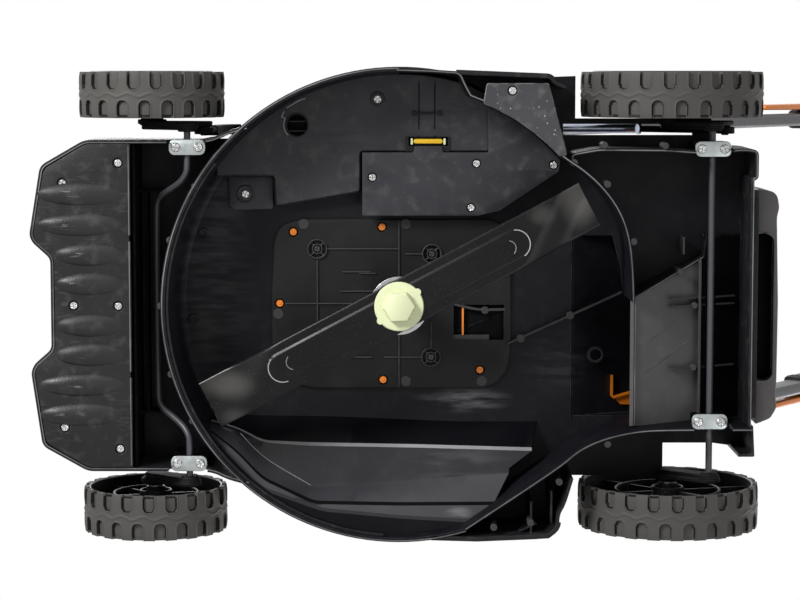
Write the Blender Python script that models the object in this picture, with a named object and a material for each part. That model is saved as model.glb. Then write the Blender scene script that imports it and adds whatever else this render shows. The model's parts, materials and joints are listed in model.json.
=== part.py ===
"""Cordless rotary lawn mower with a 40 cm cut, as separate pieces at their real size.

Metres, +Z up. The front of the machine points to -Y, the operator walks behind it at +Y, and
+X is the operator's left. The mower stands on its wheels at z = 0 with the cut at its lowest.
Pieces are modelled from the blade axis, and the root empty then centres the whole footprint.
"""

import math

import bmesh
import bpy
from mathutils import Matrix, Vector

# General fits
GAP = 0.0003
WALL = 0.003
RUNNING = 0.0004

# Cutting chamber, from the ground up
RIM_Z = 0.020
ROOF_Z = 0.105
ROOF_T = 0.003
RING_R = 0.215
LIP_T = 0.0025
LIP_H = 0.005
BAFFLE_R = 0.203
ARC_STEP = 10.0

# Nose and its screwed guard plate
NOSE_HALF = 0.153
NOSE_FRONT = -0.339
NOSE_SHOULDER = -0.288
NOSE_TOP = 0.090
GUARD_REAR = -0.246
GUARD_T = 0.003
GUARD_INSET = 0.002
BULGE_W = 0.0095
BULGE_D = 0.004

# Rear box and discharge duct
BOX_LEFT = 0.1435
BOX_REAR = 0.3235
DUCT_LEFT = 0.060
DUCT_RIGHT = -0.113
DUCT_START = 0.166
MOUTH_Y = 0.217
FLOOR_FRONT_Z = 0.040
FLOOR_REAR_Z = 0.096
DUCT_TOP_Z = 0.178
REAR_WALL_Z = 0.030

# Dropped bay and its cover
BAY_Z = 0.090
BAY_HOLE = (0.164, -0.096)
COVER_Z = 0.085
COVER_T = 0.003

# Motor, shaft and blade
CARRIER_T = 0.0037
SHAFT_R = 0.008
BEARING_R = 0.016
CAN_R = 0.048
CAN_H = 0.052
BLADE_SWING = 0.400
BLADE_W = 0.045
BLADE_T = 0.0035
BLADE_Z = 0.025
BLADE_ANGLE = 28.0
BEAD_H = 0.0012
BOLT_R = 0.021
BOLT_HEX = 0.030
BOLT_SHANK = 0.005

# Running gear: crank arms swing the wheels about the two axle rods
CRANK_Y = 0.035
CRANK_Z = 0.030
ROD_R = 0.004
CLAMP_X = 0.1445
REAR_CLAMP_X = -0.1100
CLAMP_HALF = 0.0070
ARM_X = 0.1655
ARM_T = 0.004
WHEEL_X = 0.173
WHEEL_W = 0.042
STUB_R = 0.006
SHELF_X = WHEEL_X - 0.002
FRONT_PIVOT_Y = -0.195
FRONT_WHEEL_R = 0.068
REAR_PIVOT_Y = 0.291
REAR_WHEEL_R = 0.086
LINK_Y = 0.014
LINK_Z = 0.020
LINK_X = 0.1605
LINK_R = 0.0045
LINK_RISE_Z = 0.142
LEVER_Y = 0.025
LEVER_X = 0.1675
LEVER_T = 0.005
LEVER_L = 0.120

# Folding and telescopic handle
HANDLE_X = 0.159
HANDLE_Y = 0.150
HANDLE_Z = 0.215
HANDLE_ANGLE = 54.0
LOWER_L = 0.600
UPPER_START = 0.490
UPPER_END = 0.968
TUBE_W = 0.014
TUBE_D = 0.030
TUBE_T = 0.0015
GRIP_T = 0.003

# Top cowl
COWL_HALF = 0.126
COWL_FRONT = -0.190
COWL_REAR = 0.140
COWL_TOP = 0.240
COWL_T = 0.003
BATTERY_HALF = 0.048
BATTERY_FRONT = -0.030
BATTERY_REAR = 0.090

FRONT_PIVOT_Z = FRONT_WHEEL_R - CRANK_Z
REAR_PIVOT_Z = REAR_WHEEL_R - CRANK_Z
ROOF_TOP = ROOF_Z + ROOF_T
FLAP_Y = BOX_REAR + 0.013
FLAP_Z = DUCT_TOP_Z + 0.006
RING_OUT = RING_R + WALL
RING_MID = RING_R + WALL / 2
RING_JOIN = RING_MID - 0.0004


def clear_scene():
    """Remove every object, so that the model is built alone."""
    for obj in list(bpy.data.objects):
        bpy.data.objects.remove(obj, do_unlink=True)


def finish(name, colour, roughness, metallic=0.0):
    """Make a Principled material from its colour, roughness and metallic value."""
    material = bpy.data.materials.new(name)
    material.use_nodes = True
    shader = material.node_tree.nodes["Principled BSDF"]
    shader.inputs["Base Color"].default_value = (*colour, 1.0)
    shader.inputs["Roughness"].default_value = roughness
    shader.inputs["Metallic"].default_value = metallic
    material.diffuse_color = (*colour, 1.0)
    return material


# Outlines in millimetres, for shapes that no simple rule gives
def mm(*points):
    """Turn points given in millimetres into metres."""
    return [tuple(value / 1000 for value in point) for point in points]


def arc(radius, start, end, centre=(0.0, 0.0), step=ARC_STEP):
    """Points on an arc from one angle to another, in degrees from +X towards +Y."""
    count = max(1, round(abs(end - start) / step))
    angles = [math.radians(start + (end - start) * i / count) for i in range(count + 1)]
    return [(centre[0] + radius * math.cos(a), centre[1] + radius * math.sin(a)) for a in angles]


def circle(radius, centre=(0.0, 0.0), sides=16):
    """A closed round outline."""
    return arc(radius, 0.0, 360.0 * (sides - 1) / sides, centre, 360.0 / sides)


def rectangle(x0, x1, y0, y1):
    """A closed rectangular outline."""
    return [(x0, y0), (x1, y0), (x1, y1), (x0, y1)]


def rounded(x0, x1, y0, y1, radius, step=30.0):
    """A closed rectangular outline with round corners."""
    corners = ((x1 - radius, y1 - radius, 0), (x0 + radius, y1 - radius, 90),
               (x0 + radius, y0 + radius, 180), (x1 - radius, y0 + radius, 270))
    points = []
    for x, y, turn in corners:
        points += arc(radius, turn, turn + 90, (x, y), step)
    return points


def hull(discs, sides=12):
    """The convex outline round several discs, each given as (u, v, radius)."""
    points = sorted({point for u, v, r in discs for point in circle(r, (u, v), sides)})

    def half(run):
        chain = []
        for p in run:
            while len(chain) > 1 and cross(chain[-2], chain[-1], p) <= 1e-12:
                chain.pop()
            chain.append(p)
        return chain[:-1]

    return half(points) + half(reversed(points))


def cross(a, b, c):
    """Twice the signed area of a triangle, for the hull."""
    return (b[0] - a[0]) * (c[1] - a[1]) - (b[1] - a[1]) * (c[0] - a[0])


def ribbon(path, thickness):
    """The closed outline of a wall that follows an open path on both of its sides."""
    left, right = [], []
    for i, point in enumerate(path):
        before = Vector(point) - Vector(path[max(i - 1, 0)])
        after = Vector(path[min(i + 1, len(path) - 1)]) - Vector(point)
        first = (before if before.length > 0 else after).normalized()
        second = (after if after.length > 0 else before).normalized()
        mean = (first + second).normalized()
        reach = thickness / 2 / max(mean.dot(first), 0.5)
        normal = Vector((-mean.y, mean.x)) * reach
        left.append(tuple(Vector(point) + normal))
        right.append(tuple(Vector(point) - normal))
    return left + right[::-1]


def mesh_object(bm, name="piece"):
    """Turn a bmesh into an object with its faces pointing out."""
    bmesh.ops.recalc_face_normals(bm, faces=bm.faces)
    mesh = bpy.data.meshes.new(name)
    bm.to_mesh(mesh)
    bm.free()
    obj = bpy.data.objects.new(name, mesh)
    bpy.context.scene.collection.objects.link(obj)
    return obj


def loft(rings):
    """A closed solid through rings of points, each ring with the same count."""
    bm = bmesh.new()
    layers = [[bm.verts.new(point) for point in ring] for ring in rings]
    count = len(rings[0])
    for low, high in zip(layers, layers[1:]):
        for i in range(count):
            j = (i + 1) % count
            bm.faces.new((low[i], low[j], high[j], high[i]))
    bm.faces.new(layers[0][::-1])
    bm.faces.new(layers[-1])
    return mesh_object(bm)


def prism(outline, low, high):
    """An upright solid on a plan outline; its ends are heights or functions of (x, y)."""
    def at(level, x, y):
        return level(x, y) if callable(level) else level

    return loft([[(x, y, at(low, x, y)) for x, y in outline],
                 [(x, y, at(high, x, y)) for x, y in outline]])


def box(x0, x1, y0, y1, z0, z1):
    """A plain block."""
    return prism(rectangle(x0, x1, y0, y1), z0, z1)


def wall(path, low, high, thickness=WALL):
    """An upright wall along an open plan path."""
    return prism(ribbon(path, thickness), low, high)


def slab_x(outline, x0, x1):
    """A flat plate square to X, from an outline in (y, z)."""
    return loft([[(x, y, z) for y, z in outline] for x in (x0, x1)])


def turned(profile, centre=(0.0, 0.0, 0.0), axis="Z", sides=20, flat_down=False):
    """A body of revolution from (radius, height) points; a closed ring if none is on the axis.

    With flat_down its facets, not its corners, lie at the given radii, so that it rests on one.
    """
    bm = bmesh.new()
    turn = {"Z": Matrix.Identity(3), "X": Matrix(((0, 0, 1), (1, 0, 0), (0, 1, 0)))}[axis]
    rings = []
    for radius, height in profile:
        count = 1 if radius < 1e-9 else sides
        start = math.pi / sides if flat_down else 0.0
        radius = radius / math.cos(start)
        angles = [start + 2 * math.pi * i / sides for i in range(count)]
        ring = [turn @ Vector((radius * math.cos(a), radius * math.sin(a), height)) for a in angles]
        rings.append([bm.verts.new(point + Vector(centre)) for point in ring])
    is_ring = all(len(ring) > 1 for ring in rings)
    following = rings[1:] + rings[:1] if is_ring else rings[1:]
    for low, high in zip(rings, following):
        for i in range(sides):
            corners = [low[i % len(low)], low[(i + 1) % len(low)],
                       high[(i + 1) % len(high)], high[i % len(high)]]
            bm.faces.new(list(dict.fromkeys(corners)))
    return mesh_object(bm)


def cylinder(radius, low, high, centre=(0.0, 0.0), axis="Z", sides=12):
    """A plain round pin between two heights on its axis, which passes through `centre`."""
    base = (*centre, 0.0) if axis == "Z" else (0.0, *centre)
    return turned([(0, low), (radius, low), (radius, high), (0, high)], base, axis, sides)


def tube_ring(inner, outer, low, high, centre=(0.0, 0.0), axis="Z", sides=20):
    """A plain round ring between two heights on its axis."""
    base = (*centre, 0.0) if axis == "Z" else (0.0, *centre)
    return turned([(inner, low), (outer, low), (outer, high), (inner, high)], base, axis, sides)


def sweep(path, section, normal):
    """Run a closed section along a flat path: (along the plane's normal, across it)."""
    normal = Vector(normal)
    points = [Vector(point) for point in path]
    rings = []
    for i, point in enumerate(points):
        before = (point - points[max(i - 1, 0)]) or (points[1] - point)
        after = (points[min(i + 1, len(points) - 1)] - point) or (point - points[-2])
        first = (before if before.length > 0 else after).normalized()
        second = (after if after.length > 0 else before).normalized()
        mean = (first + second).normalized()
        side = mean.cross(normal) / max(mean.dot(first), 0.5)
        rings.append([tuple(point + normal * u + side * v) for u, v in section])
    return loft(rings)


class Mower:
    """Holds the root and the joint empties, and hangs each piece on the right one."""

    def __init__(self):
        self.root = self.joint("mower_root", (0, 0, 0))
        self.parts = []

    def joint(self, name, place):
        """An empty on a joint's axis, at a place given from the blade axis."""
        empty = bpy.data.objects.new(name, None)
        empty.empty_display_size = 0.02
        bpy.context.scene.collection.objects.link(empty)
        empty.location = place
        empty.parent = getattr(self, "root", None)
        return empty

    def hang(self, obj, on):
        """Parent an object to an empty and keep it where it was modelled."""
        holder = on or self.root
        if holder is not self.root:
            obj.data.transform(Matrix.Translation(-Vector(holder.location)))
        obj.parent = holder

    def add(self, name, pieces, material, cuts=(), on=None, sharp=35.0):
        """Name a sub-part, join its pieces, cut its holes and hang it on its body."""
        body, *others = pieces
        body.name = name
        body.data.name = name
        body.data.materials.append(material)
        body.data.shade_smooth()
        body.data.set_sharp_from_angle(angle=math.radians(sharp))
        self.hang(body, on)
        for suffix, operation, operands in (("joined", "UNION", others), ("cut", "DIFFERENCE", cuts)):
            if not operands:
                continue
            group = bpy.data.collections.new(f"{name}_{suffix}")
            bpy.context.scene.collection.children.link(group)
            for operand in operands:
                operand.name = f"{name}_{suffix}"
                operand.hide_render = True
                operand.display_type = "WIRE"
                self.hang(operand, on)
                bpy.context.scene.collection.objects.unlink(operand)
                group.objects.link(operand)
            modifier = body.modifiers.new(suffix, "BOOLEAN")
            modifier.operation = operation
            modifier.solver = "EXACT"
            modifier.operand_type = "COLLECTION"
            modifier.collection = group
        self.parts.append(body)
        return body


# The lower deck moulding
def floor_z(x, y):
    """Underside of the sloping duct floor."""
    share = (y - MOUTH_Y) / (BOX_REAR - MOUTH_Y)
    return FLOOR_FRONT_Z + share * (FLOOR_REAR_Z - FLOOR_FRONT_Z)


def ceiling_z(x, y):
    """Underside of the duct ceiling, which climbs from the roof to the rear opening."""
    share = (y - DUCT_START) / (BOX_REAR - DUCT_START)
    return ROOF_Z + share * (DUCT_TOP_Z - ROOF_Z)


def nose_outline(inset=0.0):
    """Plan outline of the nose with its three scalloped fronts, as far back as the ring."""
    w = NOSE_HALF - inset
    f = NOSE_FRONT + inset
    s = NOSE_SHOULDER + inset / 2
    return [(w, s), (w - 0.022, f + 0.012), (0.070, f), (0.062, f + 0.003), (0.046, f + 0.019),
            (-0.040, f + 0.019), (-0.054, f + 0.003), (-0.062, f), (0.022 - w, f + 0.009), (-w, s)]


def ring_path(radius):
    """The chamber wall round from the duct mouth's left end, through the front, to the right."""
    baffle = radius - RING_MID + BAFFLE_R
    return arc(radius, 89.6, 54) + arc(baffle, 49, 20) + arc(radius, 15, -197)


def discharge_path():
    """The slanting wall that leads the clippings from the ring into the duct."""
    end = arc(RING_MID, -197, -197)[0]
    return [end] + mm((-150, 148), (-133.5, 166.5), (-124, 186), (-117.5, 212)) + [
        (DUCT_RIGHT - WALL / 2, 0.236), (DUCT_RIGHT - WALL / 2, BOX_REAR + WALL)]


def left_flange():
    """Outer wall behind the ring on the left, with its step before the rear wheel."""
    return [(RING_MID - 0.001, 0.030), (RING_MID - 0.003, 0.070), (RING_MID - 0.006, 0.140),
            (RING_MID - 0.012, 0.142), (RING_MID - 0.016, 0.152)]


def right_flange():
    """Outer wall behind the ring on the right, which curves in before the rear wheel."""
    return [(-x, y) for x, y in left_flange()[:3]] + mm((-204, 145), (-186, 152), (-160, 153))


def roof_pieces():
    """The flat roof over the ring, its shoulders, the rear chamber and the side web."""
    left = [(0.130, 0.120)] + left_flange() + [(0.148, 0.154), (0.130, 0.154)]
    right = [(-0.130, 0.060)] + right_flange() + mm((-134, 168), (-124, 186), (-116, 214), (-110, 214))
    web = mm((-114, 210), (-120, 190), (-132, 166), (-150, 150)) + [(-SHELF_X, 0.150), (-SHELF_X, 0.253)]
    web += mm((-132, 253), (-126, 268), (-134, 300), (-142, 318), (-142, 330), (-114, 330))
    shelf = mm((140, 150), (198, 150), (205, 138), (210, 140), (211, 165))
    shelf += [(SHELF_X, 0.165), (SHELF_X, 0.296), (0.140, 0.300)]
    roof = [prism(circle(RING_OUT, sides=36), ROOF_Z, ROOF_TOP)]
    roof += [prism(outline, ROOF_Z, ROOF_TOP) for outline in (left, right, web, shelf)]
    rear = [(DUCT_LEFT - 0.055, 0.190), (0.142, 0.154), (BOX_LEFT + 0.001, 0.190),
            (BOX_LEFT, BOX_REAR), (BOX_LEFT, BOX_REAR + 0.006), (DUCT_RIGHT, BOX_REAR + 0.001),
            (DUCT_RIGHT - 0.001, 0.190)]
    return roof + [prism(rear, ROOF_Z, ROOF_TOP)]


def ring_pieces():
    """Chamber wall with its rim lip, the slanting wall and the two outer flanges."""
    top = ROOF_Z + 0.001
    lip_mid = RING_OUT + LIP_T / 2 - 0.0005
    return [wall(ring_path(RING_MID) + discharge_path()[1:], RIM_Z, top),
            wall(arc(lip_mid, 15, -195), RIM_Z, RIM_Z + LIP_H, LIP_T + 0.001),
            wall(left_flange(), RIM_Z, top),
            wall(right_flange(), RIM_Z, top)]


def nose_pieces():
    """Nose walls down to the guard plate, and the nose roof back to the ring."""
    front = nose_outline(WALL / 2)
    join_y = -math.sqrt(RING_MID ** 2 - (NOSE_HALF - WALL / 2) ** 2)
    path = [(front[0][0], join_y)] + front + [(front[-1][0], join_y)]
    angle = math.degrees(math.asin(NOSE_HALF / RING_MID))
    roof = nose_outline() + arc(RING_MID, angle - 90 - 2 * angle, angle - 90, step=10)
    return [wall(path, RIM_Z + GUARD_T + GAP, NOSE_TOP + 0.001), prism(roof, NOSE_TOP, NOSE_TOP + WALL)]


def rear_pieces():
    """Walls of the rear chamber, the sloping duct floor with its ribs, and the duct itself."""
    join = arc(BAFFLE_R, 50, 50)[0]
    side = [join, (join[0] + 0.010, join[1] - 0.001), (BOX_LEFT + 0.001, 0.189), (BOX_LEFT, 0.237),
            (BOX_LEFT - 0.003, 0.273), (BOX_LEFT, 0.318), (BOX_LEFT - 0.001, BOX_REAR + 0.006),
            (0.120, BOX_REAR + 0.007), (0.117, BOX_REAR + WALL / 2)]
    diagonal = [(0.006, RING_MID), (DUCT_LEFT + 0.001, 0.287)]
    floor = [(0.006, MOUTH_Y), (DUCT_RIGHT - 0.001, MOUTH_Y), (DUCT_RIGHT - 0.001, BOX_REAR + 0.001),
             (DUCT_LEFT + 0.001, BOX_REAR + 0.001), (DUCT_LEFT + 0.001, 0.287)]
    duct = rectangle(DUCT_RIGHT - WALL, DUCT_LEFT + WALL, DUCT_START - 0.002, BOX_REAR + WALL)
    rod_top = REAR_PIVOT_Z + ROD_R + 0.003
    rib_y = REAR_PIVOT_Y - ROD_R - 0.004
    pieces = [
        wall(side, REAR_WALL_Z, ROOF_Z + 0.001),
        box(DUCT_LEFT, 0.1185, BOX_REAR, BOX_REAR + WALL, REAR_WALL_Z, ROOF_Z + 0.001),
        box(DUCT_RIGHT - 0.001, DUCT_LEFT + 0.001, BOX_REAR, BOX_REAR + WALL, REAR_WALL_Z, FLOOR_REAR_Z),
        prism(floor, floor_z, lambda x, y: floor_z(x, y) + WALL),
        prism(ribbon(diagonal, WALL), lambda x, y: floor_z(x, y) - 0.001, ROOF_Z + 0.001),
        prism(duct, ceiling_z, lambda x, y: ceiling_z(x, y) + WALL),
        box(DUCT_RIGHT - 0.001, DUCT_LEFT - 0.010, rib_y - 0.0025, rib_y, rod_top, floor_z(0, rib_y) + 0.001),
        prism(rectangle(DUCT_LEFT, DUCT_LEFT + WALL, 0.286, BOX_REAR + WALL), floor_z, ROOF_TOP)]
    for x in (DUCT_RIGHT - WALL, DUCT_LEFT):
        side_wall = rectangle(x, x + WALL, DUCT_START, BOX_REAR + WALL)
        pieces.append(prism(side_wall, ROOF_Z + 0.001, lambda x, y: ceiling_z(x, y) + 0.001))
        ear = hull([(FLAP_Y, FLAP_Z, 0.0055), (BOX_REAR - 0.004, DUCT_TOP_Z - 0.010, 0.004)])
        pieces.append(slab_x(ear, x, x + WALL))
    for x in (0.006, -0.060):
        pieces.append(prism(rectangle(x, x + 0.002, 0.256, 0.316), rod_top,
                            lambda x, y: floor_z(x, y) + 0.001))
    return pieces


def on_ring(x):
    """The point at the front of the ring wall for a given x."""
    return (x, -math.sqrt(RING_JOIN ** 2 - x ** 2))


def volute_pieces():
    """The stepped ramp on the right that narrows the chamber away from the duct."""
    steps = ((-0.107, mm((-107, 95), (-132, 118)), (-166, 122), 0.092, 0.020),
             (-0.116, mm((-148, -122), (-168, -80), (-168, 10), (-157, 98)), (-182, 98), 0.072, 0.006),
             (-0.160, mm((-186, -84), (-191, -40), (-191, 30), (-188, 66)), (-204, 68), 0.050, 0.006))
    pieces = []
    for x, edge, end, low, slant in steps:
        rings = []
        for shift, z in ((slant, low), (0.0, ROOF_Z + 0.001)):
            first = on_ring(x - shift)
            angle = math.degrees(math.atan2(first[1], first[0])) + 360
            rim = arc(RING_JOIN, 163, angle, step=(angle - 163) / 9)[:-1]
            outline = [first] + [(u - shift, v) for u, v in edge] + mm(end) + rim
            rings.append([(u, v, z) for u, v in outline])
        pieces.append(loft(rings))
    return pieces


# Places of the screws and pins seen from below, from the blade axis
GUARD_SCREWS = mm((132, -257), (113, -308), (0, -299), (0, -258), (-113, -308), (-132, -257))
COVER_SCREWS = mm((116, -25), (129, 73), (87, 68), (128, 146))
CORNER_SCREW = (0.198, 0.104)
BAY_SCREWS = mm((191, -20), (100, -146))
CARRIER_SCREWS = mm((47, -78), (43, 31), (-56, 31), (-56, -78))
COWL_PINS = mm((63, -100), (68, -16), (-5, -113), (-78, -15), (-69, 77))
WINDOW = (-0.040, -0.006, 0.052, 0.100)
LATCH = (0.155, 0.161, 0.012, 0.043)


def clamp_places():
    """Where each axle clamp sits: x, y of the rod and the height of the rod."""
    front = [(x, FRONT_PIVOT_Y, FRONT_PIVOT_Z) for x in (CLAMP_X, -CLAMP_X)]
    return front + [(x, REAR_PIVOT_Y, REAR_PIVOT_Z) for x in (CLAMP_X, REAR_CLAMP_X)]


def clamp_seat_z(rod_z):
    """Underside of the block that an axle clamp is screwed to."""
    return rod_z - ROD_R - 0.0005


def support_pieces():
    """Dropped bay, clamp blocks, and the bosses that the screwed covers sit on."""
    bay = mm((134, -160), (134, -118), (89, -116.5), (103, -36.5), (140, -36.5), (140, 85), (190, 85))
    bay += arc(RING_MID, 21, -48)
    pieces = [prism(bay, BAY_Z, ROOF_Z + 0.001)]
    for x, y, rod_z in clamp_places():
        top = NOSE_TOP + 0.001 if y < 0 else ROOF_Z + 0.001
        half = CLAMP_HALF + 0.0005
        if x == REAR_CLAMP_X:
            def top(u, v):
                return floor_z(u, v) + 0.001
        block = rectangle(x - half, x + half, y - 0.019, y + 0.019)
        pieces.append(prism(block, clamp_seat_z(rod_z), top))
    for x, y in GUARD_SCREWS:
        pieces.append(cylinder(0.005, RIM_Z + GUARD_T + GAP, NOSE_TOP + 0.001, (x, y), sides=8))
    for x, y in COVER_SCREWS:
        pieces.append(cylinder(0.005, COVER_Z + COVER_T + GAP, ROOF_Z + 0.001, (x, y), sides=8))
    pieces.append(cylinder(0.005, RIM_Z + GUARD_T + GAP, ROOF_Z + 0.001, CORNER_SCREW, sides=8))
    rib = ribbon(mm((-39.5, 109), (8, 212)), 0.002)
    pieces.append(prism(rib, ROOF_Z - 0.006, ROOF_Z + 0.001))
    return pieces


def deck_cuts():
    """Openings of the deck moulding: duct, motor, cowl pins, rod slots and screw holes."""
    low, high = ROOF_Z - 0.012, ROOF_TOP + 0.002
    mouth = [(DUCT_RIGHT, DUCT_START + 0.004), (DUCT_LEFT, DUCT_START + 0.004), (DUCT_LEFT, 0.2035),
             (0.030, 0.2115), (0.006, 0.2140), (0.006, MOUTH_Y + 0.002), (DUCT_LEFT - 0.002, 0.286),
             (DUCT_LEFT - 0.002, BOX_REAR - 0.001), (DUCT_LEFT - 0.002, BOX_REAR + 0.010),
             (DUCT_RIGHT, BOX_REAR + 0.010)]
    cuts = [prism(mouth, ROOF_Z - 0.0005, high), cylinder(0.030, low, high, sides=20)]
    cuts += [cylinder(0.0046, low, high, pin, sides=8) for pin in COWL_PINS]
    cuts += [box(*WINDOW, low, high), box(*LATCH, BAY_Z - 0.002, BAY_Z + 0.008)]
    slot = LINK_R + 0.0007
    cuts.append(box(LINK_X - slot, LINK_X + slot, 0.1555, 0.278, low, high))
    cuts.append(cylinder(0.010, BAY_Z - 0.002, BAY_Z + 0.010, BAY_HOLE, sides=16))
    cuts.append(cylinder(0.0033, DUCT_RIGHT - 0.010, DUCT_LEFT + 0.010, (FLAP_Y, FLAP_Z), "X"))
    for x, y, rod_z in clamp_places():
        reach = 0.016 if y < 0 else 0.024
        slot = ROD_R + 0.0005
        cuts.append(box(x - reach, x + reach, y - slot, y + slot, rod_z - 0.030, rod_z + slot))
        half = CLAMP_HALF + 0.0015
        cuts.append(box(x - half, x + half, y - 0.0175, y + 0.0175, rod_z - 0.030, clamp_seat_z(rod_z)))
    return cuts


def build_deck(mower, skin):
    """The deck moulding and the plates screwed under it."""
    pieces = roof_pieces() + ring_pieces() + nose_pieces() + rear_pieces()
    pieces += volute_pieces() + support_pieces()
    mower.add("deck_shell", pieces, skin["black"], deck_cuts())

    guard_top = RIM_Z + GUARD_T
    plan = nose_outline(GUARD_INSET)
    half = plan[0][0]
    pieces = [prism([(half, GUARD_REAR)] + plan + [(-half, GUARD_REAR)], RIM_Z, guard_top)]
    for x, start in ((0.104, -0.324), (0.0755, -0.324), (0.048, -0.312), (0.021, -0.312)):
        for side in (-1, 1):
            pieces.append(bulge(side * x, start, -0.254))
    pieces += [screw(*place, RIM_Z) for place in GUARD_SCREWS]
    mower.add("front_guard", pieces, skin["scuffed"])

    cover = mm((79.7, -34.7), (139, -34.7), (139, 17), (154, 17), (154, 39), (139, 39), (141, 84))
    cover += arc(BAFFLE_R - WALL / 2 - 0.001, 24.6, 49, step=5)
    cover += mm((121.6, 150.7), (84.4, 94.7), (79.7, 74))
    pieces = [prism(cover, COVER_Z, COVER_Z + COVER_T)] + [screw(*place, COVER_Z) for place in COVER_SCREWS]
    mower.add("belly_cover", pieces, skin["black"])

    corner = mm((206, 86), (204, 137), (150, 151)) + arc(BAFFLE_R + WALL / 2 + 0.001, 46, 25, step=5)
    mower.add("corner_plate", [prism(corner, RIM_Z, guard_top), screw(*CORNER_SCREW, RIM_Z)],
              skin["scuffed"])

    board = [box(0.095, 0.132, -0.008, 0.058, ROOF_Z - 0.0023, ROOF_Z - GAP),
             box(0.100, 0.126, 0.002, 0.046, ROOF_Z - 0.012, ROOF_Z - 0.002)]
    mower.add("controller_board", board, skin["board"])
    x0, x1, y0, y1 = LATCH
    latch = box(x0 + GAP, x1 - GAP, y0 + GAP, y1 - GAP, BAY_Z - 0.0015, BAY_Z + 0.008 - GAP)
    mower.add("cover_latch", [latch], skin["yellow"])
    trim = mm((-66, 199), (-66, 202), (-90, 202), (-90, 219), (-102, 219), (-98, 210), (-94, 199))
    trim = prism(trim, lambda x, y: ceiling_z(x, y) - 0.004, lambda x, y: ceiling_z(x, y) - GAP)
    mower.add("duct_trim", [trim], skin["orange"])


def bulge(x, y0, y1):
    """A long shallow dome under the guard plate."""
    rings = []
    for share, depth in ((1.0, -0.001), (0.85, 0.6), (0.45, 1.0)):
        half_w = BULGE_W * share
        half_l = (y1 - y0) / 2 - BULGE_W * (1 - share)
        z = RIM_Z + 0.001 if depth < 0 else RIM_Z - BULGE_D * depth
        rings.append([(x + half_w * math.cos(a), (y0 + y1) / 2 + half_l * math.sin(a), z)
                      for a in (math.radians(36 * i) for i in range(10))])
    return loft(rings)


def screw(x, y, under, radius=0.004):
    """The pan head of a screw under a plate whose underside is at the given height."""
    return turned([(0, under - 0.0022), (radius, under - 0.0018), (radius, under + 0.0005),
                   (0, under + 0.0005)], (x, y, 0), sides=8)


def build_clamps(mower, skin):
    """The plates that hold the axle rods, each with its two screws."""
    names = ("front_left", "front_right", "rear_left", "rear_right")
    for name, (x, y, rod_z) in zip(names, clamp_places()):
        top = clamp_seat_z(rod_z) - GAP
        pieces = [prism(hull([(x, y - 0.0095, CLAMP_HALF), (x, y + 0.0095, CLAMP_HALF)]), top - 0.0022, top)]
        for side in (-1, 1):
            pieces.append(screw(x, y + side * 0.0115, top - 0.0022, radius=0.0036))
        mower.add(f"axle_clamp_{name}", pieces, skin["zinc"])


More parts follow.
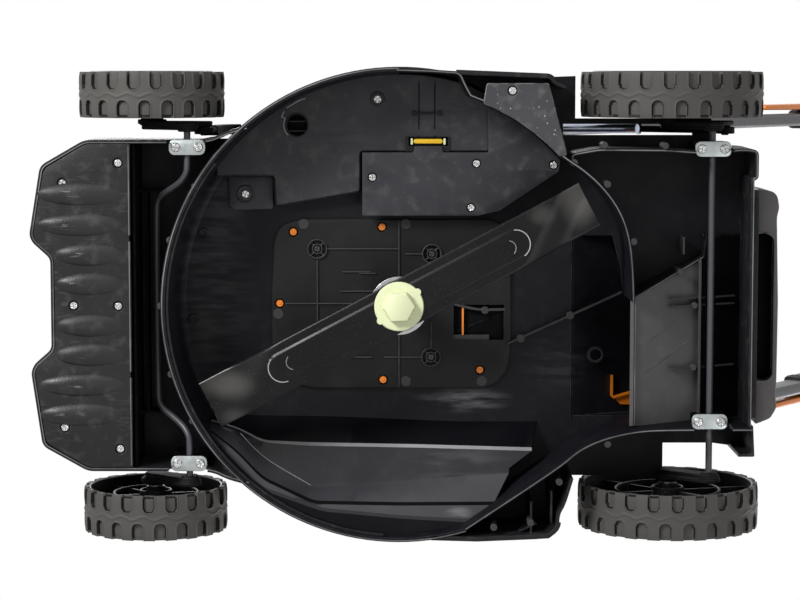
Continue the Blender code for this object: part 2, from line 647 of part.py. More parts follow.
def build_motor(mower, skin, rotor):
    """Motor, its carrier and bearings, and the cutting unit that turns."""
    top = ROOF_Z - GAP
    low = top - CARRIER_T
    panel = rounded(-0.086, 0.0757, -0.120, 0.1065, 0.026)
    pieces = [prism(panel, low, top), tube_ring(BEARING_R + GAP, 0.020, low - 0.004, low + 0.001)]
    for x, y in CARRIER_SCREWS:
        pieces.append(tube_ring(0.0065, 0.0085, low - 0.003, low + 0.001, (x, y), sides=10))
    for y in (-0.078, 0.031):
        pieces.append(box(-0.048, 0.036, y - 0.0008, y + 0.0008, low - 0.0015, low + 0.001))
    pieces.append(box(-0.0008, 0.0008, -0.104, 0.090, low - 0.0015, low + 0.001))
    pieces += [screw(*place, low) for place in CARRIER_SCREWS]
    cuts = [cylinder(BEARING_R + GAP, low - 0.010, top + 0.002, sides=20)]
    cuts += [cylinder(0.0046, low - 0.010, top + 0.002, pin, sides=8) for pin in COWL_PINS]
    cuts.append(box(*WINDOW, low - 0.010, top + 0.002))
    mower.add("motor_carrier", pieces, skin["black"], cuts)

    base = ROOF_TOP + GAP
    lid = base + CAN_H
    seat = lid - 0.002
    inner = CAN_R - 0.0025
    case = [(inner, base), (CAN_R, base), (CAN_R, lid - 0.003), (CAN_R - 0.003, lid), (0.010, lid),
            (0.010, seat), (BEARING_R + GAP, seat), (BEARING_R + GAP, seat - 0.009),
            (BEARING_R + 0.003, seat - 0.009), (BEARING_R + 0.003, lid - 0.003), (inner, lid - 0.003)]
    mower.add("motor_can", [turned(case)], skin["steel"])
    stator = tube_ring(0.030, inner - GAP, base + 0.006, base + 0.036)
    mower.add("motor_stator", [stator], skin["copper"])
    bore = SHAFT_R + GAP
    mower.add("bearing_lower", [tube_ring(bore, BEARING_R, low - 0.001, low + 0.007)], skin["steel"])
    mower.add("bearing_upper", [tube_ring(bore, BEARING_R, seat - GAP - 0.008, seat - GAP)], skin["steel"])

    shank = BOLT_SHANK + GAP
    foot = BLADE_Z + BLADE_T + GAP
    profile = [(0, foot + 0.024), (shank, foot + 0.024), (shank, foot), (SHAFT_R, foot),
               (SHAFT_R, base + 0.006), (0.028, base + 0.006), (0.028, base + 0.036),
               (SHAFT_R, base + 0.036), (SHAFT_R, seat - GAP), (0, seat - GAP)]
    mower.add("motor_shaft", [turned(profile)], skin["steel"], on=rotor)
    hub_top = low - 0.006
    holder = [(bore, foot), (0.027, foot), (0.027, foot + 0.0035), (0.014, foot + 0.006),
              (0.014, hub_top), (bore, hub_top)]
    mower.add("blade_holder", [turned(holder)], skin["zinc"], on=rotor)
    build_blade(mower, skin, rotor)

    seat = BLADE_Z - BEAD_H - GAP
    hexagon = arc(BOLT_HEX / 2, BLADE_ANGLE, BLADE_ANGLE + 300, step=60)
    flange = turned([(0, seat), (BOLT_R, seat), (BOLT_R, seat - 0.0025), (BOLT_R - 0.0015, seat - 0.004),
                     (0, seat - 0.004)])
    head = prism(hexagon, seat - 0.013, seat - 0.002)
    stem = cylinder(BOLT_SHANK, seat - 0.001, foot + 0.020)
    mower.add("blade_bolt", [flange, head, stem], skin["ivory"], on=rotor)


def build_blade(mower, skin, rotor):
    """Flat steel bar with a pressed bead along it and an air-lifting wing at each tip."""
    half = math.sqrt((BLADE_SWING / 2) ** 2 - (BLADE_W / 2) ** 2)
    turn = math.radians(BLADE_ANGLE)

    def place(along, across, z):
        return (along * math.sin(turn) + across * math.cos(turn),
                along * math.cos(turn) - across * math.sin(turn), z)

    rings = []
    for along, lift in ((-half, 0.013), (-half + 0.035, 0.011), (-0.120, 0.0), (0.120, 0.0),
                        (half - 0.035, 0.011), (half, 0.013)):
        side = -1 if along > 0 else 1
        w = BLADE_W / 2
        section = [(-w, 0), (0, 0), (w, 0), (w, BLADE_T), (0, BLADE_T), (-w, BLADE_T)]
        rings.append([place(along, u, BLADE_Z + v + (lift if u * side > 0 else 0)) for u, v in section])
    bar = loft(rings)
    ends = [place(side * 0.130, 0, 0)[:2] for side in (-1, 1)]
    bead = prism(hull([(*end, 0.011) for end in ends]), BLADE_Z - BEAD_H, BLADE_Z + 0.001)
    hole = cylinder(BOLT_SHANK + GAP, BLADE_Z - 0.005, BLADE_Z + 0.010)
    mower.add("blade", [bar, bead], skin["painted_steel"], [hole], on=rotor)


def axle(name, mower, skin, pivot_y, pivot_z, body, path):
    """An axle rod with a crank arm and a stub at each end; the left arm also drives the link."""
    wheel = (pivot_y - CRANK_Y, pivot_z + CRANK_Z)
    lean = Vector((0, -CRANK_Y, CRANK_Z)).normalized()
    points = [(x, pivot_y + lean.y * out, pivot_z + lean.z * out) for x, out in path]
    normal = Vector((1, 0, 0)).cross(lean)
    rod = sweep(points, circle(ROD_R, sides=8), normal)
    pieces = [rod]
    for side in (-1, 1):
        discs = [(pivot_y, pivot_z, 0.011), (*wheel, 0.012)]
        inner, outer = sorted((side * ARM_X, side * (ARM_X + ARM_T)))
        if side > 0:
            eye = (pivot_y + LINK_Y, pivot_z + LINK_Z)
            discs.append((*eye, 0.008))
            pin = cylinder(0.0035, LINK_X - LINK_R, ARM_X + 0.001, eye, "X")
            pieces.append(pin)
        pieces.append(slab_x(hull(discs), inner, outer))
        tip = side * (WHEEL_X + WHEEL_W - 0.0035)
        inner, outer = sorted((side * (ARM_X + 0.001), tip))
        pieces.append(cylinder(STUB_R, inner, outer, wheel, "X"))
        face = WHEEL_X + WHEEL_W - 0.006 + GAP
        inner, outer = sorted((side * face, side * (face + 0.0012)))
        pieces.append(cylinder(0.011, inner, outer, wheel, "X"))
    mower.add(name, pieces, skin["rod"], on=body)


def wheel(name, mower, skin, radius, side, centre, body):
    """A moulded wheel with its hollow side inwards, and the snap-on cap over its stub."""
    def across(value):
        return side * (WHEEL_X + value)

    at = (0.0, *centre)
    w = WHEEL_W
    bore = STUB_R + RUNNING
    profile = [(radius - 0.002, 0), (radius, 0.003), (radius, w - 0.003), (radius - 0.002, w),
               (radius - 0.009, w), (radius - 0.010, w - 0.006), (bore, w - 0.006), (bore, 0.002),
               (0.013, 0.002), (0.014, w - 0.010), (radius - 0.008, w - 0.010), (radius - 0.007, 0)]
    pieces = [turned([(r, across(h)) for r, h in profile], at, "X", 28, flat_down=True)]
    spokes = 6
    for i in range(spokes):
        angle = 2 * math.pi * (i + 0.5) / spokes
        along = Vector((math.cos(angle), math.sin(angle)))
        start, end = Vector(centre) + along * 0.012, Vector(centre) + along * (radius - 0.007)
        spoke = ribbon([tuple(start), tuple(end)], 0.0025)
        x0, x1 = sorted((across(0.012), across(w - 0.009)))
        pieces.append(slab_x(spoke, x0, x1))
    mower.add(name, pieces, skin["tyre"], on=body)
    rim = radius - 0.0108
    cap = [(0, w + 0.001), (rim * 0.8, w + 0.001), (rim, w - 0.001), (rim, w - 0.0057),
           (rim - 0.003, w - 0.0057), (rim - 0.003, w - 0.003), (0, w - 0.003)]
    cap_name = name.replace("wheel", "hub_cap")
    mower.add(cap_name, [turned([(r, across(h)) for r, h in cap], at, "X")], skin["cap"], on=body)


def build_running_gear(mower, skin):
    """Two cranked axles, four wheels, the link between the axles and the height lever."""
    front = mower.joint("front_axle_axis", (0, FRONT_PIVOT_Y, FRONT_PIVOT_Z))
    rear = mower.joint("rear_axle_axis", (0, REAR_PIVOT_Y, REAR_PIVOT_Z))
    end = ARM_X + 0.001
    bend = [(end, 0), (0.124, 0), (0.113, 0.008), (0.101, 0.030), (0.091, 0.037)]
    front_path = bend + [(-x, out) for x, out in reversed(bend)]
    axle("front_axle", mower, skin, FRONT_PIVOT_Y, FRONT_PIVOT_Z, front, front_path)
    axle("rear_axle", mower, skin, REAR_PIVOT_Y, REAR_PIVOT_Z, rear, [(end, 0), (-end, 0)])
    for row, pivot_y, radius in (("front", FRONT_PIVOT_Y, FRONT_WHEEL_R),
                                 ("rear", REAR_PIVOT_Y, REAR_WHEEL_R)):
        centre = (pivot_y - CRANK_Y, radius)
        for side, hand in ((1, "left"), (-1, "right")):
            axis = mower.joint(f"{row}_{hand}_wheel_axis", (side * WHEEL_X, *centre))
            wheel(f"wheel_{row}_{hand}", mower, skin, radius, side, centre, axis)

    start = (FRONT_PIVOT_Y + LINK_Y, FRONT_PIVOT_Z + LINK_Z)
    finish_at = (REAR_PIVOT_Y + LINK_Y, REAR_PIVOT_Z + LINK_Z)
    link = mower.joint("link_axis", (LINK_X, *finish_at))
    rise = LINK_RISE_Z
    route = [start, (start[0] + 0.012, rise - 0.018), (start[0] + 0.028, rise),
             (REAR_PIVOT_Y - 0.080, rise), (REAR_PIVOT_Y - 0.062, rise - 0.012), finish_at]
    tube = sweep([(LINK_X, y, z) for y, z in route], circle(LINK_R, sides=10), (1, 0, 0))
    eyes = [cylinder(0.009, LINK_X - 0.003, LINK_X + 0.003, place, "X") for place in (start, finish_at)]
    lever_pin = (LEVER_Y + LINK_Y, LINK_RISE_Z)
    holes = [cylinder(0.0039, LINK_X - 0.010, LINK_X + 0.010, place, "X")
             for place in (start, finish_at)]
    holes.append(cylinder(0.0034, LINK_X - 0.010, LINK_X + 0.010, lever_pin, "X"))
    mower.add("linkage_rod", [tube] + eyes, skin["zinc"], holes, on=link)
    build_lever(mower, skin, lever_pin)


def build_lever(mower, skin, lever_pin):
    """Height lever with its knob, on a notched plate beside the cowl."""
    pivot = (LEVER_Y, LINK_RISE_Z - LINK_Z)
    axis = mower.joint("lever_axis", (LEVER_X, *pivot))
    swing = math.atan2(CRANK_Z, CRANK_Y)
    lean = (math.sin(swing), math.cos(swing))

    def up(length):
        return (pivot[0] + lean[0] * length, pivot[1] + lean[1] * length)

    inner, outer = LEVER_X, LEVER_X + LEVER_T
    knob_start = LEVER_L - 0.012
    pieces = [slab_x(hull([(*pivot, 0.010), (*lever_pin, 0.007)]), inner, outer),
              slab_x(hull([(*pivot, 0.009), (*up(knob_start - 0.0064), 0.007)]), inner, outer),
              cylinder(0.003, LINK_X - LINK_R, inner + 0.001, lever_pin, "X")]
    bore = cylinder(0.0043, inner - 0.005, outer + 0.005, pivot, "X")
    mower.add("height_lever", pieces, skin["black"], [bore], on=axis)
    knob = slab_x(hull([(*up(LEVER_L + 0.0003), 0.012), (*up(LEVER_L + 0.024), 0.012)]), inner, inner + 0.022)
    mower.add("lever_knob", [knob], skin["orange"], on=axis)

    plate_x = outer + 0.0015
    floor = ROOF_TOP + GAP
    teeth = []
    for i in range(25):
        angle = 138 - i * 4
        notch = 0.003 if i % 4 == 0 else 0.0
        teeth += arc(0.052 - notch, angle, angle, pivot)[:1]
    plate = [(pivot[0] + 0.036, floor), *reversed(teeth), (pivot[0] - 0.036, floor)]
    pieces = [slab_x(plate, plate_x, plate_x + 0.003),
              box(plate_x, plate_x + 0.015, pivot[0] - 0.036, pivot[0] + 0.036, floor, floor + 0.003),
              cylinder(0.004, inner - 0.0008, plate_x + 0.001, pivot, "X"),
              cylinder(0.006, inner - 0.0030, inner - 0.0006, pivot, "X")]
    mower.add("lever_quadrant", pieces, skin["black"])


COWL_RINGS = ((0.0, 1.0, 1.0, 1.0), (0.24, 0.985, 0.98, 0.99), (0.50, 0.92, 0.89, 0.97),
              (0.73, 0.80, 0.74, 0.94), (0.91, 0.64, 0.55, 0.89), (1.0, 0.50, 0.38, 0.84))


def cowl_ring(half, front, rear, z, sides=24):
    """A rounded plan ring of the cowl, as a superellipse."""
    middle, reach = (front + rear) / 2, (rear - front) / 2
    ring = []
    for i in range(sides):
        angle = 2 * math.pi * (i + 0.5) / sides
        c, s = math.cos(angle), math.sin(angle)
        ring.append((half * math.copysign(abs(c) ** 0.6, c), middle + reach * math.copysign(abs(s) ** 0.6, s), z))
    return ring


def cowl_shape(inset, low, high):
    """The cowl's loft, drawn in on all sides by an inset."""
    rings = []
    for share, wide, ahead, behind in COWL_RINGS:
        z = low + share * (high - low)
        rings.append(cowl_ring(COWL_HALF * wide - inset, COWL_FRONT * ahead + inset,
                               COWL_REAR * behind - inset, z))
    return loft(rings)


def build_cowl(mower, skin):
    """The top cowl, the battery well in it and the hinged lid over the well."""
    base = ROOF_TOP + GAP
    floor = base + 0.002
    pieces = [cowl_shape(0.0, base, COWL_TOP)]
    low = ROOF_Z - GAP - CARRIER_T
    for pin in COWL_PINS:
        pieces.append(cylinder(0.004, low - 0.0002, floor - 0.0005, pin, sides=8))
    x0, x1, y0, y1 = WINDOW
    cuts = [cowl_shape(COWL_T, floor, COWL_TOP - COWL_T),
            cylinder(CAN_R + 0.002, base - 0.005, floor + 0.001, sides=20),
            box(-BATTERY_HALF, BATTERY_HALF, BATTERY_FRONT, BATTERY_REAR, COWL_TOP - 0.030, COWL_TOP + 0.005),
            box(x0, x1, y0, y0 + 0.008, base - 0.005, floor + 0.001),
            box(x0, x1, y0 + 0.0096, y1, base - 0.005, floor + 0.001)]
    hinge = (BATTERY_FRONT - 0.018, COWL_TOP + 0.005)
    for side in (-1, 1):
        ear = sorted((side * 0.0405, side * 0.046))
        pieces.append(slab_x(hull([(*hinge, 0.0045), (hinge[0], COWL_TOP - 0.001, 0.0045)]), *ear))
    cuts.append(cylinder(0.0018, -0.050, 0.050, hinge, "X"))
    mower.add("top_cowl", pieces, skin["orange"], cuts, sharp=45.0)
    mower.add("lid_hinge_pin", [cylinder(0.0015, -0.0465, 0.0465, hinge, "X")], skin["steel"])

    lid = mower.joint("lid_axis", (0, *hinge))
    edge = (-BATTERY_HALF - 0.011, BATTERY_HALF + 0.011, BATTERY_FRONT - 0.011, BATTERY_REAR + 0.022)
    plan = rounded(*edge, 0.014)
    crown = rounded(edge[0] + 0.010, edge[1] - 0.010, edge[2] + 0.010, edge[3] - 0.010, 0.010)
    under = COWL_TOP + GAP
    shell = loft([[(x, y, under) for x, y in plan], [(x, y, under + 0.004) for x, y in plan],
                  [(x, y, under + 0.009) for x, y in crown]])
    barrel = cylinder(0.0038, -0.040, 0.040, hinge, "X")
    web = box(-0.036, 0.036, hinge[0], edge[2] + 0.004, under + 0.001, under + 0.0045)
    bore = cylinder(0.0018, -0.050, 0.050, hinge, "X")
    mower.add("battery_cover", [shell, barrel, web], skin["black"], [bore], on=lid)

    top = COWL_TOP - 0.0005
    bottom = base + CAN_H + 0.003
    tray = (-BATTERY_HALF + GAP, BATTERY_HALF - GAP, BATTERY_FRONT + GAP, BATTERY_REAR - GAP)
    well = (tray[0] + 0.002, tray[1] - 0.002, tray[2] + 0.002, tray[3] - 0.002)
    socket_y = well[3] - 0.012
    pieces = [box(*tray, bottom, top)]
    cuts = [box(well[0], well[1], well[2], socket_y, bottom + 0.002, top + 0.005),
            box(well[0], well[1], socket_y - 0.001, well[3], top - 0.035, top + 0.005)]
    mower.add("battery_tray", pieces, skin["black"], cuts)
    pack = (well[0] + 0.001, well[1] - 0.001, well[2] + 0.001, socket_y - 0.0005)
    pack_low = bottom + 0.002 + GAP
    pieces = [box(*pack, pack_low, top - 0.012)]
    pieces.append(box(-0.020, 0.020, pack[2] + 0.010, pack[2] + 0.030, top - 0.013, top - 0.004))
    mower.add("battery_pack", pieces, skin["grey"])
    key = [box(-0.008, 0.008, socket_y + 0.0015, well[3] - 0.0015, top - 0.035 + GAP, top - 0.020),
           box(-0.014, 0.014, socket_y + 0.0025, well[3] - 0.0025, top - 0.021, top - 0.006)]
    mower.add("safety_key", key, skin["yellow"])


def build_flap(mower, skin):
    """Rear discharge flap, hung on its rod at the top of the duct."""
    hinge = (FLAP_Y, FLAP_Z)
    flap = mower.joint("flap_axis", (0, *hinge))
    mower.add("flap_hinge_rod", [cylinder(0.003, DUCT_RIGHT - 0.005, DUCT_LEFT + 0.005, hinge, "X")],
              skin["zinc"])
    low, high = 0.104, FLAP_Z - 0.006
    front = BOX_REAR + 0.0175
    plan = [(0.1045, front), (0.101, front + 0.017), (0.093, front + 0.021), (-0.106, front + 0.021),
            (-0.116, front + 0.015), (-0.122, front)]
    left, right = DUCT_LEFT - 0.0005, DUCT_RIGHT + 0.0005
    pieces = [prism(plan, low, high),
              cylinder(0.0065, right, left, hinge, "X"),
              slab_x(hull([(*hinge, 0.004), (front + 0.005, high - 0.004, 0.004)]), right, left)]
    back = front + 0.018
    mouth = rounded(-0.081, 0.063, front - 0.030, back, 0.012)
    cuts = [prism(mouth, low - 0.005, high - 0.006),
            box(0.066, 0.0985, front - 0.005, back - 0.002, low + 0.003, high - 0.006),
            box(-0.117, -0.084, front - 0.005, back - 0.004, low + 0.003, high - 0.006),
            cylinder(0.0033, right - 0.005, left + 0.005, hinge, "X")]
    mower.add("rear_flap", pieces, skin["flap"], cuts, on=flap)


# The handle is drawn in its own plane: x across, s up along the tubes, n square to the tubes
LEAN = math.radians(HANDLE_ANGLE)
UP = Vector((0, math.cos(LEAN), math.sin(LEAN)))
OUT = Vector((0, math.sin(LEAN), -math.cos(LEAN)))
FOOT = Vector((0, HANDLE_Y, HANDLE_Z))


def on_handle(x, s, n=0.0):
    """A point of the handle's own plane, from the blade axis."""
    return Vector((x, 0, 0)) + FOOT + UP * s + OUT * n


def handle_box(x0, x1, s0, s1, n0, n1):
    """A block square to the handle."""
    x0, x1 = sorted((x0, x1))
    corners = ((x0, n0), (x1, n0), (x1, n1), (x0, n1))
    return loft([[tuple(on_handle(x, s, n)) for x, n in corners] for s in (s0, s1)])


def handle_run(points, half_across, half_deep, round_off, bend=(1, 0, 0)):
    """A tube along points of the handle; its section is (across the path, square to it)."""
    section = rounded(-half_across, half_across, -half_deep, half_deep, round_off, step=45)
    return sweep(points, section, bend)


def handle_slab(outline, n0, n1):
    """A plate in the handle's plane, from an outline in (x, s)."""
    return loft([[tuple(on_handle(x, s, n)) for x, s in outline] for n in (n0, n1)])


def build_handle(mower, skin):
    """Brackets, folding lower tubes, telescopic upper handle and its controls."""
    lower = mower.joint("handle_axis", FOOT)
    upper = mower.joint("slide_axis", on_handle(0, LOWER_L))
    half_w, half_d = TUBE_W / 2, TUBE_D / 2
    base = ROOF_TOP + GAP
    inner = HANDLE_X - half_w
    for side, hand in ((1, "left"), (-1, "right")):
        faces = sorted((side * 0.131, side * (inner - 0.0018)))
        post = hull([(HANDLE_Y, HANDLE_Z, 0.017), (HANDLE_Y - 0.028, base + 0.006, 0.006),
                     (HANDLE_Y - 0.004, base + 0.006, 0.006)])
        foot = box(*faces, HANDLE_Y - 0.036, HANDLE_Y + 0.003, base, base + 0.005)
        hole = cylinder(0.0043, -0.2, 0.2, (HANDLE_Y, HANDLE_Z), "X")
        mower.add(f"handle_bracket_{hand}", [slab_x(post, *faces), foot], skin["black"], [hole])

        ends = sorted((side * 0.134, side * (HANDLE_X + half_w + 0.0010)))
        head = sorted((side * (HANDLE_X + half_w + GAP), side * (HANDLE_X + half_w + 0.005)))
        bolt = [cylinder(0.004, *ends, (HANDLE_Y, HANDLE_Z), "X"),
                cylinder(0.011, *head, (HANDLE_Y, HANDLE_Z), "X")]
        mower.add(f"pivot_bolt_{hand}", bolt, skin["zinc"])

        line = [on_handle(side * HANDLE_X, s) for s in (-0.014, LOWER_L)]
        tube = handle_run(line, half_w, half_d, 0.0045)
        long_line = [on_handle(side * HANDLE_X, s) for s in (-0.030, LOWER_L + 0.020)]
        bore = handle_run(long_line, half_w - TUBE_T, half_d - TUBE_T, 0.0035)
        hole = cylinder(0.0043, -0.2, 0.2, (HANDLE_Y, HANDLE_Z), "X")
        mower.add(f"lower_tube_{hand}", [tube], skin["tube"], [bore, hole], on=lower)
        build_clamp(mower, skin, side, hand, lower)

    build_upper(mower, skin, upper)


def build_clamp(mower, skin, side, hand, lower):
    """Collar at the top of a lower tube, with the cam lever that grips the inner tube."""
    half_w, half_d = TUBE_W / 2 + 0.0035, TUBE_D / 2 + 0.0035
    top = LOWER_L - 0.001
    middle = side * HANDLE_X
    hinge = (side * (HANDLE_X + half_w + 0.0042), top - 0.015)
    pieces = [handle_box(middle - half_w, middle + half_w, top - 0.044, top, -half_d, half_d)]
    for n in (-0.0125, 0.0095):
        pieces.append(handle_box(side * (HANDLE_X + half_w - 0.001), hinge[0] + side * 0.0035,
                                 hinge[1] - 0.0035, hinge[1] + 0.0035, n, n + 0.003))
    pieces.append(handle_slab(circle(0.0015, hinge, 10), -0.0105, 0.0105))
    line = [on_handle(middle, s) for s in (top - 0.060, top + 0.010)]
    bore = handle_run(line, TUBE_W / 2 + GAP, TUBE_D / 2 + GAP, 0.0045 + GAP)
    mower.add(f"clamp_collar_{hand}", pieces, skin["black"], [bore], on=lower)

    axis = mower.joint(f"cam_axis_{hand}", on_handle(*hinge))
    outline = hull([(*hinge, 0.0038), (hinge[0] + side * 0.0006, top - 0.150, 0.0030)], 12)
    lever = handle_slab(outline, -0.009, 0.009)
    hole = handle_slab(circle(0.0018, hinge, 10), -0.02, 0.02)
    mower.add(f"cam_lever_{hand}", [lever], skin["orange"], [hole], on=axis)


def build_upper(mower, skin, upper):
    """Upper handle with grips, switch box, start button and bail."""
    inner_w = TUBE_W / 2 - TUBE_T - RUNNING
    inner_d = TUBE_D / 2 - TUBE_T - RUNNING
    bend = 0.050
    shoulder = UPPER_END - bend
    corner = arc(bend, 0, 90, (HANDLE_X - bend, shoulder), step=18)
    plan = [(HANDLE_X, UPPER_START)] + corner
    plan += [(-x, s) for x, s in reversed(plan)]
    bail_s = 0.850
    tube = handle_run([on_handle(x, s) for x, s in plan], inner_d, inner_w, 0.003, OUT)
    pin_place = on_handle(0, bail_s)
    hole = cylinder(0.0033, -0.2, 0.2, (pin_place.y, pin_place.z), "X")
    mower.add("upper_handle", [tube], skin["tube"], [hole], on=upper)

    for side, hand in ((1, "left"), (-1, "right")):
        line = [on_handle(side * x, UPPER_END) for x in (0.0455, 0.105)]
        longer = [on_handle(side * x, UPPER_END) for x in (0.030, 0.120)]
        sleeve = handle_run(line, inner_d + GRIP_T, inner_w + GRIP_T, 0.005, OUT)
        bore = handle_run(longer, inner_d + GAP, inner_w + GAP, 0.003 + GAP, OUT)
        mower.add(f"grip_{hand}", [sleeve], skin["foam"], [bore], on=upper)

    line = [on_handle(x, UPPER_END) for x in (-0.060, 0.060)]
    for name, n0, n1 in (("switch_box_top", -0.0170, -0.00015), ("switch_box_bottom", 0.00015, 0.032)):
        body = handle_box(-0.045, 0.045, UPPER_END - 0.036, UPPER_END + 0.032, n0, n1)
        cuts = [handle_run(line, inner_d + GAP, inner_w + GAP, 0.003 + GAP, OUT)]
        if n1 > 0.01:
            cuts.append(button_shape(0.0084, UPPER_END + 0.017, UPPER_END + 0.034))
        mower.add(name, [body], skin["black"], cuts, on=upper)
    button = mower.joint("button_axis", on_handle(0, UPPER_END + 0.022, 0.020))
    cap = button_shape(0.008, UPPER_END + 0.0225, UPPER_END + 0.036)
    mower.add("start_button", [cap], skin["orange"], on=button)

    bail = mower.joint("bail_axis", on_handle(0, bail_s))
    reach = Vector((0, 0, 0)) + UP * 0.105 - OUT * 0.060
    far = reach.length
    along = reach.normalized()
    side_x = HANDLE_X - inner_w - 0.0085
    half = [(HANDLE_X - 0.001, 0), (side_x + 0.003, 0), (side_x, 0.003), (side_x, far - 0.012),
            (side_x - 0.012, far)]
    shape = half + [(-x, r) for x, r in reversed(half)]
    points = [Vector((x, 0, 0)) + on_handle(0, bail_s) + along * r for x, r in shape]
    wire = sweep(points, circle(0.003, sides=10), Vector((1, 0, 0)).cross(along))
    mower.add("bail_lever", [wire], skin["orange"], on=bail)


def button_shape(radius, s0, s1):
    """A round push button that travels along the handle."""
    ring = circle(radius, (0.0, 0.020), 20)
    return loft([[tuple(on_handle(x, s, n)) for x, n in ring] for s in (s0, s1)])


def centre_footprint(mower):
    """Move the root so that the whole footprint is centred on the origin."""
    depsgraph = bpy.context.evaluated_depsgraph_get()
    ends = []
    for obj in mower.parts:
        corners = [obj.matrix_world @ Vector(corner) for corner in obj.evaluated_get(depsgraph).bound_box]
        ends += [min(c.y for c in corners), max(c.y for c in corners)]
    mower.root.location.y = -round((min(ends) + max(ends)) / 2, 4)
    print("blade axis at y =", round(mower.root.location.y, 4))


def main():
    """Build the whole mower."""
    clear_scene()
    skin = {
        "black": finish("black_plastic", (0.020, 0.020, 0.023), 0.50),
        "scuffed": finish("scuffed_plastic", (0.030, 0.030, 0.032), 0.45),
        "flap": finish("grey_plastic", (0.060, 0.058, 0.058), 0.55),
        "tyre": finish("tyre_plastic", (0.050, 0.047, 0.045), 0.65),
        "cap": finish("cap_plastic", (0.035, 0.035, 0.037), 0.40),
        "orange": finish("orange_plastic", (0.850, 0.230, 0.015), 0.40),
        "yellow": finish("yellow_plastic", (0.830, 0.500, 0.010), 0.40),
        "ivory": finish("ivory_nylon", (0.720, 0.760, 0.480), 0.45),
        "grey": finish("pack_plastic", (0.080, 0.080, 0.085), 0.50),
        "foam": finish("grip_foam", (0.015, 0.015, 0.015), 0.90),
        "board": finish("circuit_board", (0.020, 0.160, 0.060), 0.50),
        "zinc": finish("zinc_plate", (0.600, 0.650, 0.700), 0.35, 1.0),
        "steel": finish("bright_steel", (0.550, 0.550, 0.560), 0.30, 1.0),
        "rod": finish("black_rod", (0.060, 0.060, 0.065), 0.40, 0.6),
        "tube": finish("grey_tube", (0.090, 0.090, 0.095), 0.40, 0.7),
        "painted_steel": finish("painted_steel", (0.012, 0.012, 0.013), 0.30, 0.2),
        "copper": finish("motor_winding", (0.600, 0.250, 0.120), 0.40, 1.0),
    }
    mower = Mower()
    build_deck(mower, skin)
    build_clamps(mower, skin)
    rotor = mower.joint("blade_axis", (0, 0, BLADE_Z))
    build_motor(mower, skin, rotor)
    build_running_gear(mower, skin)
    build_cowl(mower, skin)
    build_flap(mower, skin)
    build_handle(mower, skin)
    centre_footprint(mower)


if __name__ == "__main__":
    main()
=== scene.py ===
"""Looks of a cordless rotary lawn mower with a 40 cm cut, seen from below with its wheels down.

Every length is in millimetres from the blade axis and the ground until a shape becomes a mesh:
+X is the operator's left, +Y is behind the machine and +Z is up.
"""

import sys

import json
import logging
import math
from collections.abc import Callable, Iterable, Sequence
from dataclasses import dataclass, field
from enum import Enum

import bmesh
import bpy
from mathutils import Matrix, Vector


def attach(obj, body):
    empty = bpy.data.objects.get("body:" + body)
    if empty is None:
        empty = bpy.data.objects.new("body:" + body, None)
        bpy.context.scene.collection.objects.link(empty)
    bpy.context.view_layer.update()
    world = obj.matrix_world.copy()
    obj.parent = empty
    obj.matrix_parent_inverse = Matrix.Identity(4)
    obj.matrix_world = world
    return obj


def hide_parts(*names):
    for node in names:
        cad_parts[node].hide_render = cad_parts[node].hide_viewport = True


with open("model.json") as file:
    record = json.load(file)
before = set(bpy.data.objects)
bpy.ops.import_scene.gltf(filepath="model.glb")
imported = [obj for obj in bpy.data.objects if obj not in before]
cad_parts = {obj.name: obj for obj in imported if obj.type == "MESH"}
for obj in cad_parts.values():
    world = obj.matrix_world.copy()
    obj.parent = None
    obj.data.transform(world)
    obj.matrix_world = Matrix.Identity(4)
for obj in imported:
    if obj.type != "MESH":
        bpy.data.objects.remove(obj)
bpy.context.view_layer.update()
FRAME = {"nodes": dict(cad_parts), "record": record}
LOG = logging.getLogger("mower")

Point = tuple[float, float]
Place = tuple[float, float, float]
Colour = tuple[float, float, float]
LitPatch = tuple[float, float, float, float, float]
Level = float | Callable[[float, float], float]
Sock = bpy.types.NodeSocket

MM = 0.001
HINGES = {joint["name"]: joint for joint in FRAME["record"]["behaviour"]["joints"]}
BLADE_AXIS_Y = HINGES["blade_spin"]["pos_m"][1]


class Side(Enum):
    """The operator's left or right, with its sign along X."""

    LEFT = 1
    RIGHT = -1

    @property
    def word(self) -> str:
        """The side's name as the frame's nodes spell it."""
        return self.name.lower()


class Axis(Enum):
    """The axis a round piece is turned about."""

    X = "X"
    Y = "Y"
    Z = "Z"

    def turn(self) -> Matrix:
        """The rotation that takes +Z to this axis."""
        return {
            Axis.X: Matrix(((0, 0, 1), (1, 0, 0), (0, 1, 0))),
            Axis.Y: Matrix(((0, 1, 0), (0, 0, 1), (1, 0, 0))),
            Axis.Z: Matrix.Identity(3),
        }[self]


# Outlines and curves in plan
def arc(radius: float, start: float, end: float, centre: Point = (0.0, 0.0), step: float = 2.5) -> list[Point]:
    """Points on an arc.

    Args:
        radius: The arc's radius.
        start: Its first angle in degrees, from +X towards +Y.
        end: Its last angle.
        centre: The middle of the circle.
        step: The most degrees between two points.

    Returns:
        The points, first and last included.
    """
    count = max(1, math.ceil(abs(end - start) / step))
    angles = [math.radians(start + (end - start) * i / count) for i in range(count + 1)]
    return [(centre[0] + radius * math.cos(a), centre[1] + radius * math.sin(a)) for a in angles]


def turns(count: int) -> list[float]:
    """Angles that divide a full turn evenly, from 0."""
    return [2 * math.pi * i / count for i in range(count)]


def circle(radius: float, centre: Point = (0.0, 0.0), sides: int = 32) -> list[Point]:
    """A closed round outline of the given number of sides."""
    return arc(radius, 0.0, 360.0 * (sides - 1) / sides, centre, 360.0 / sides)


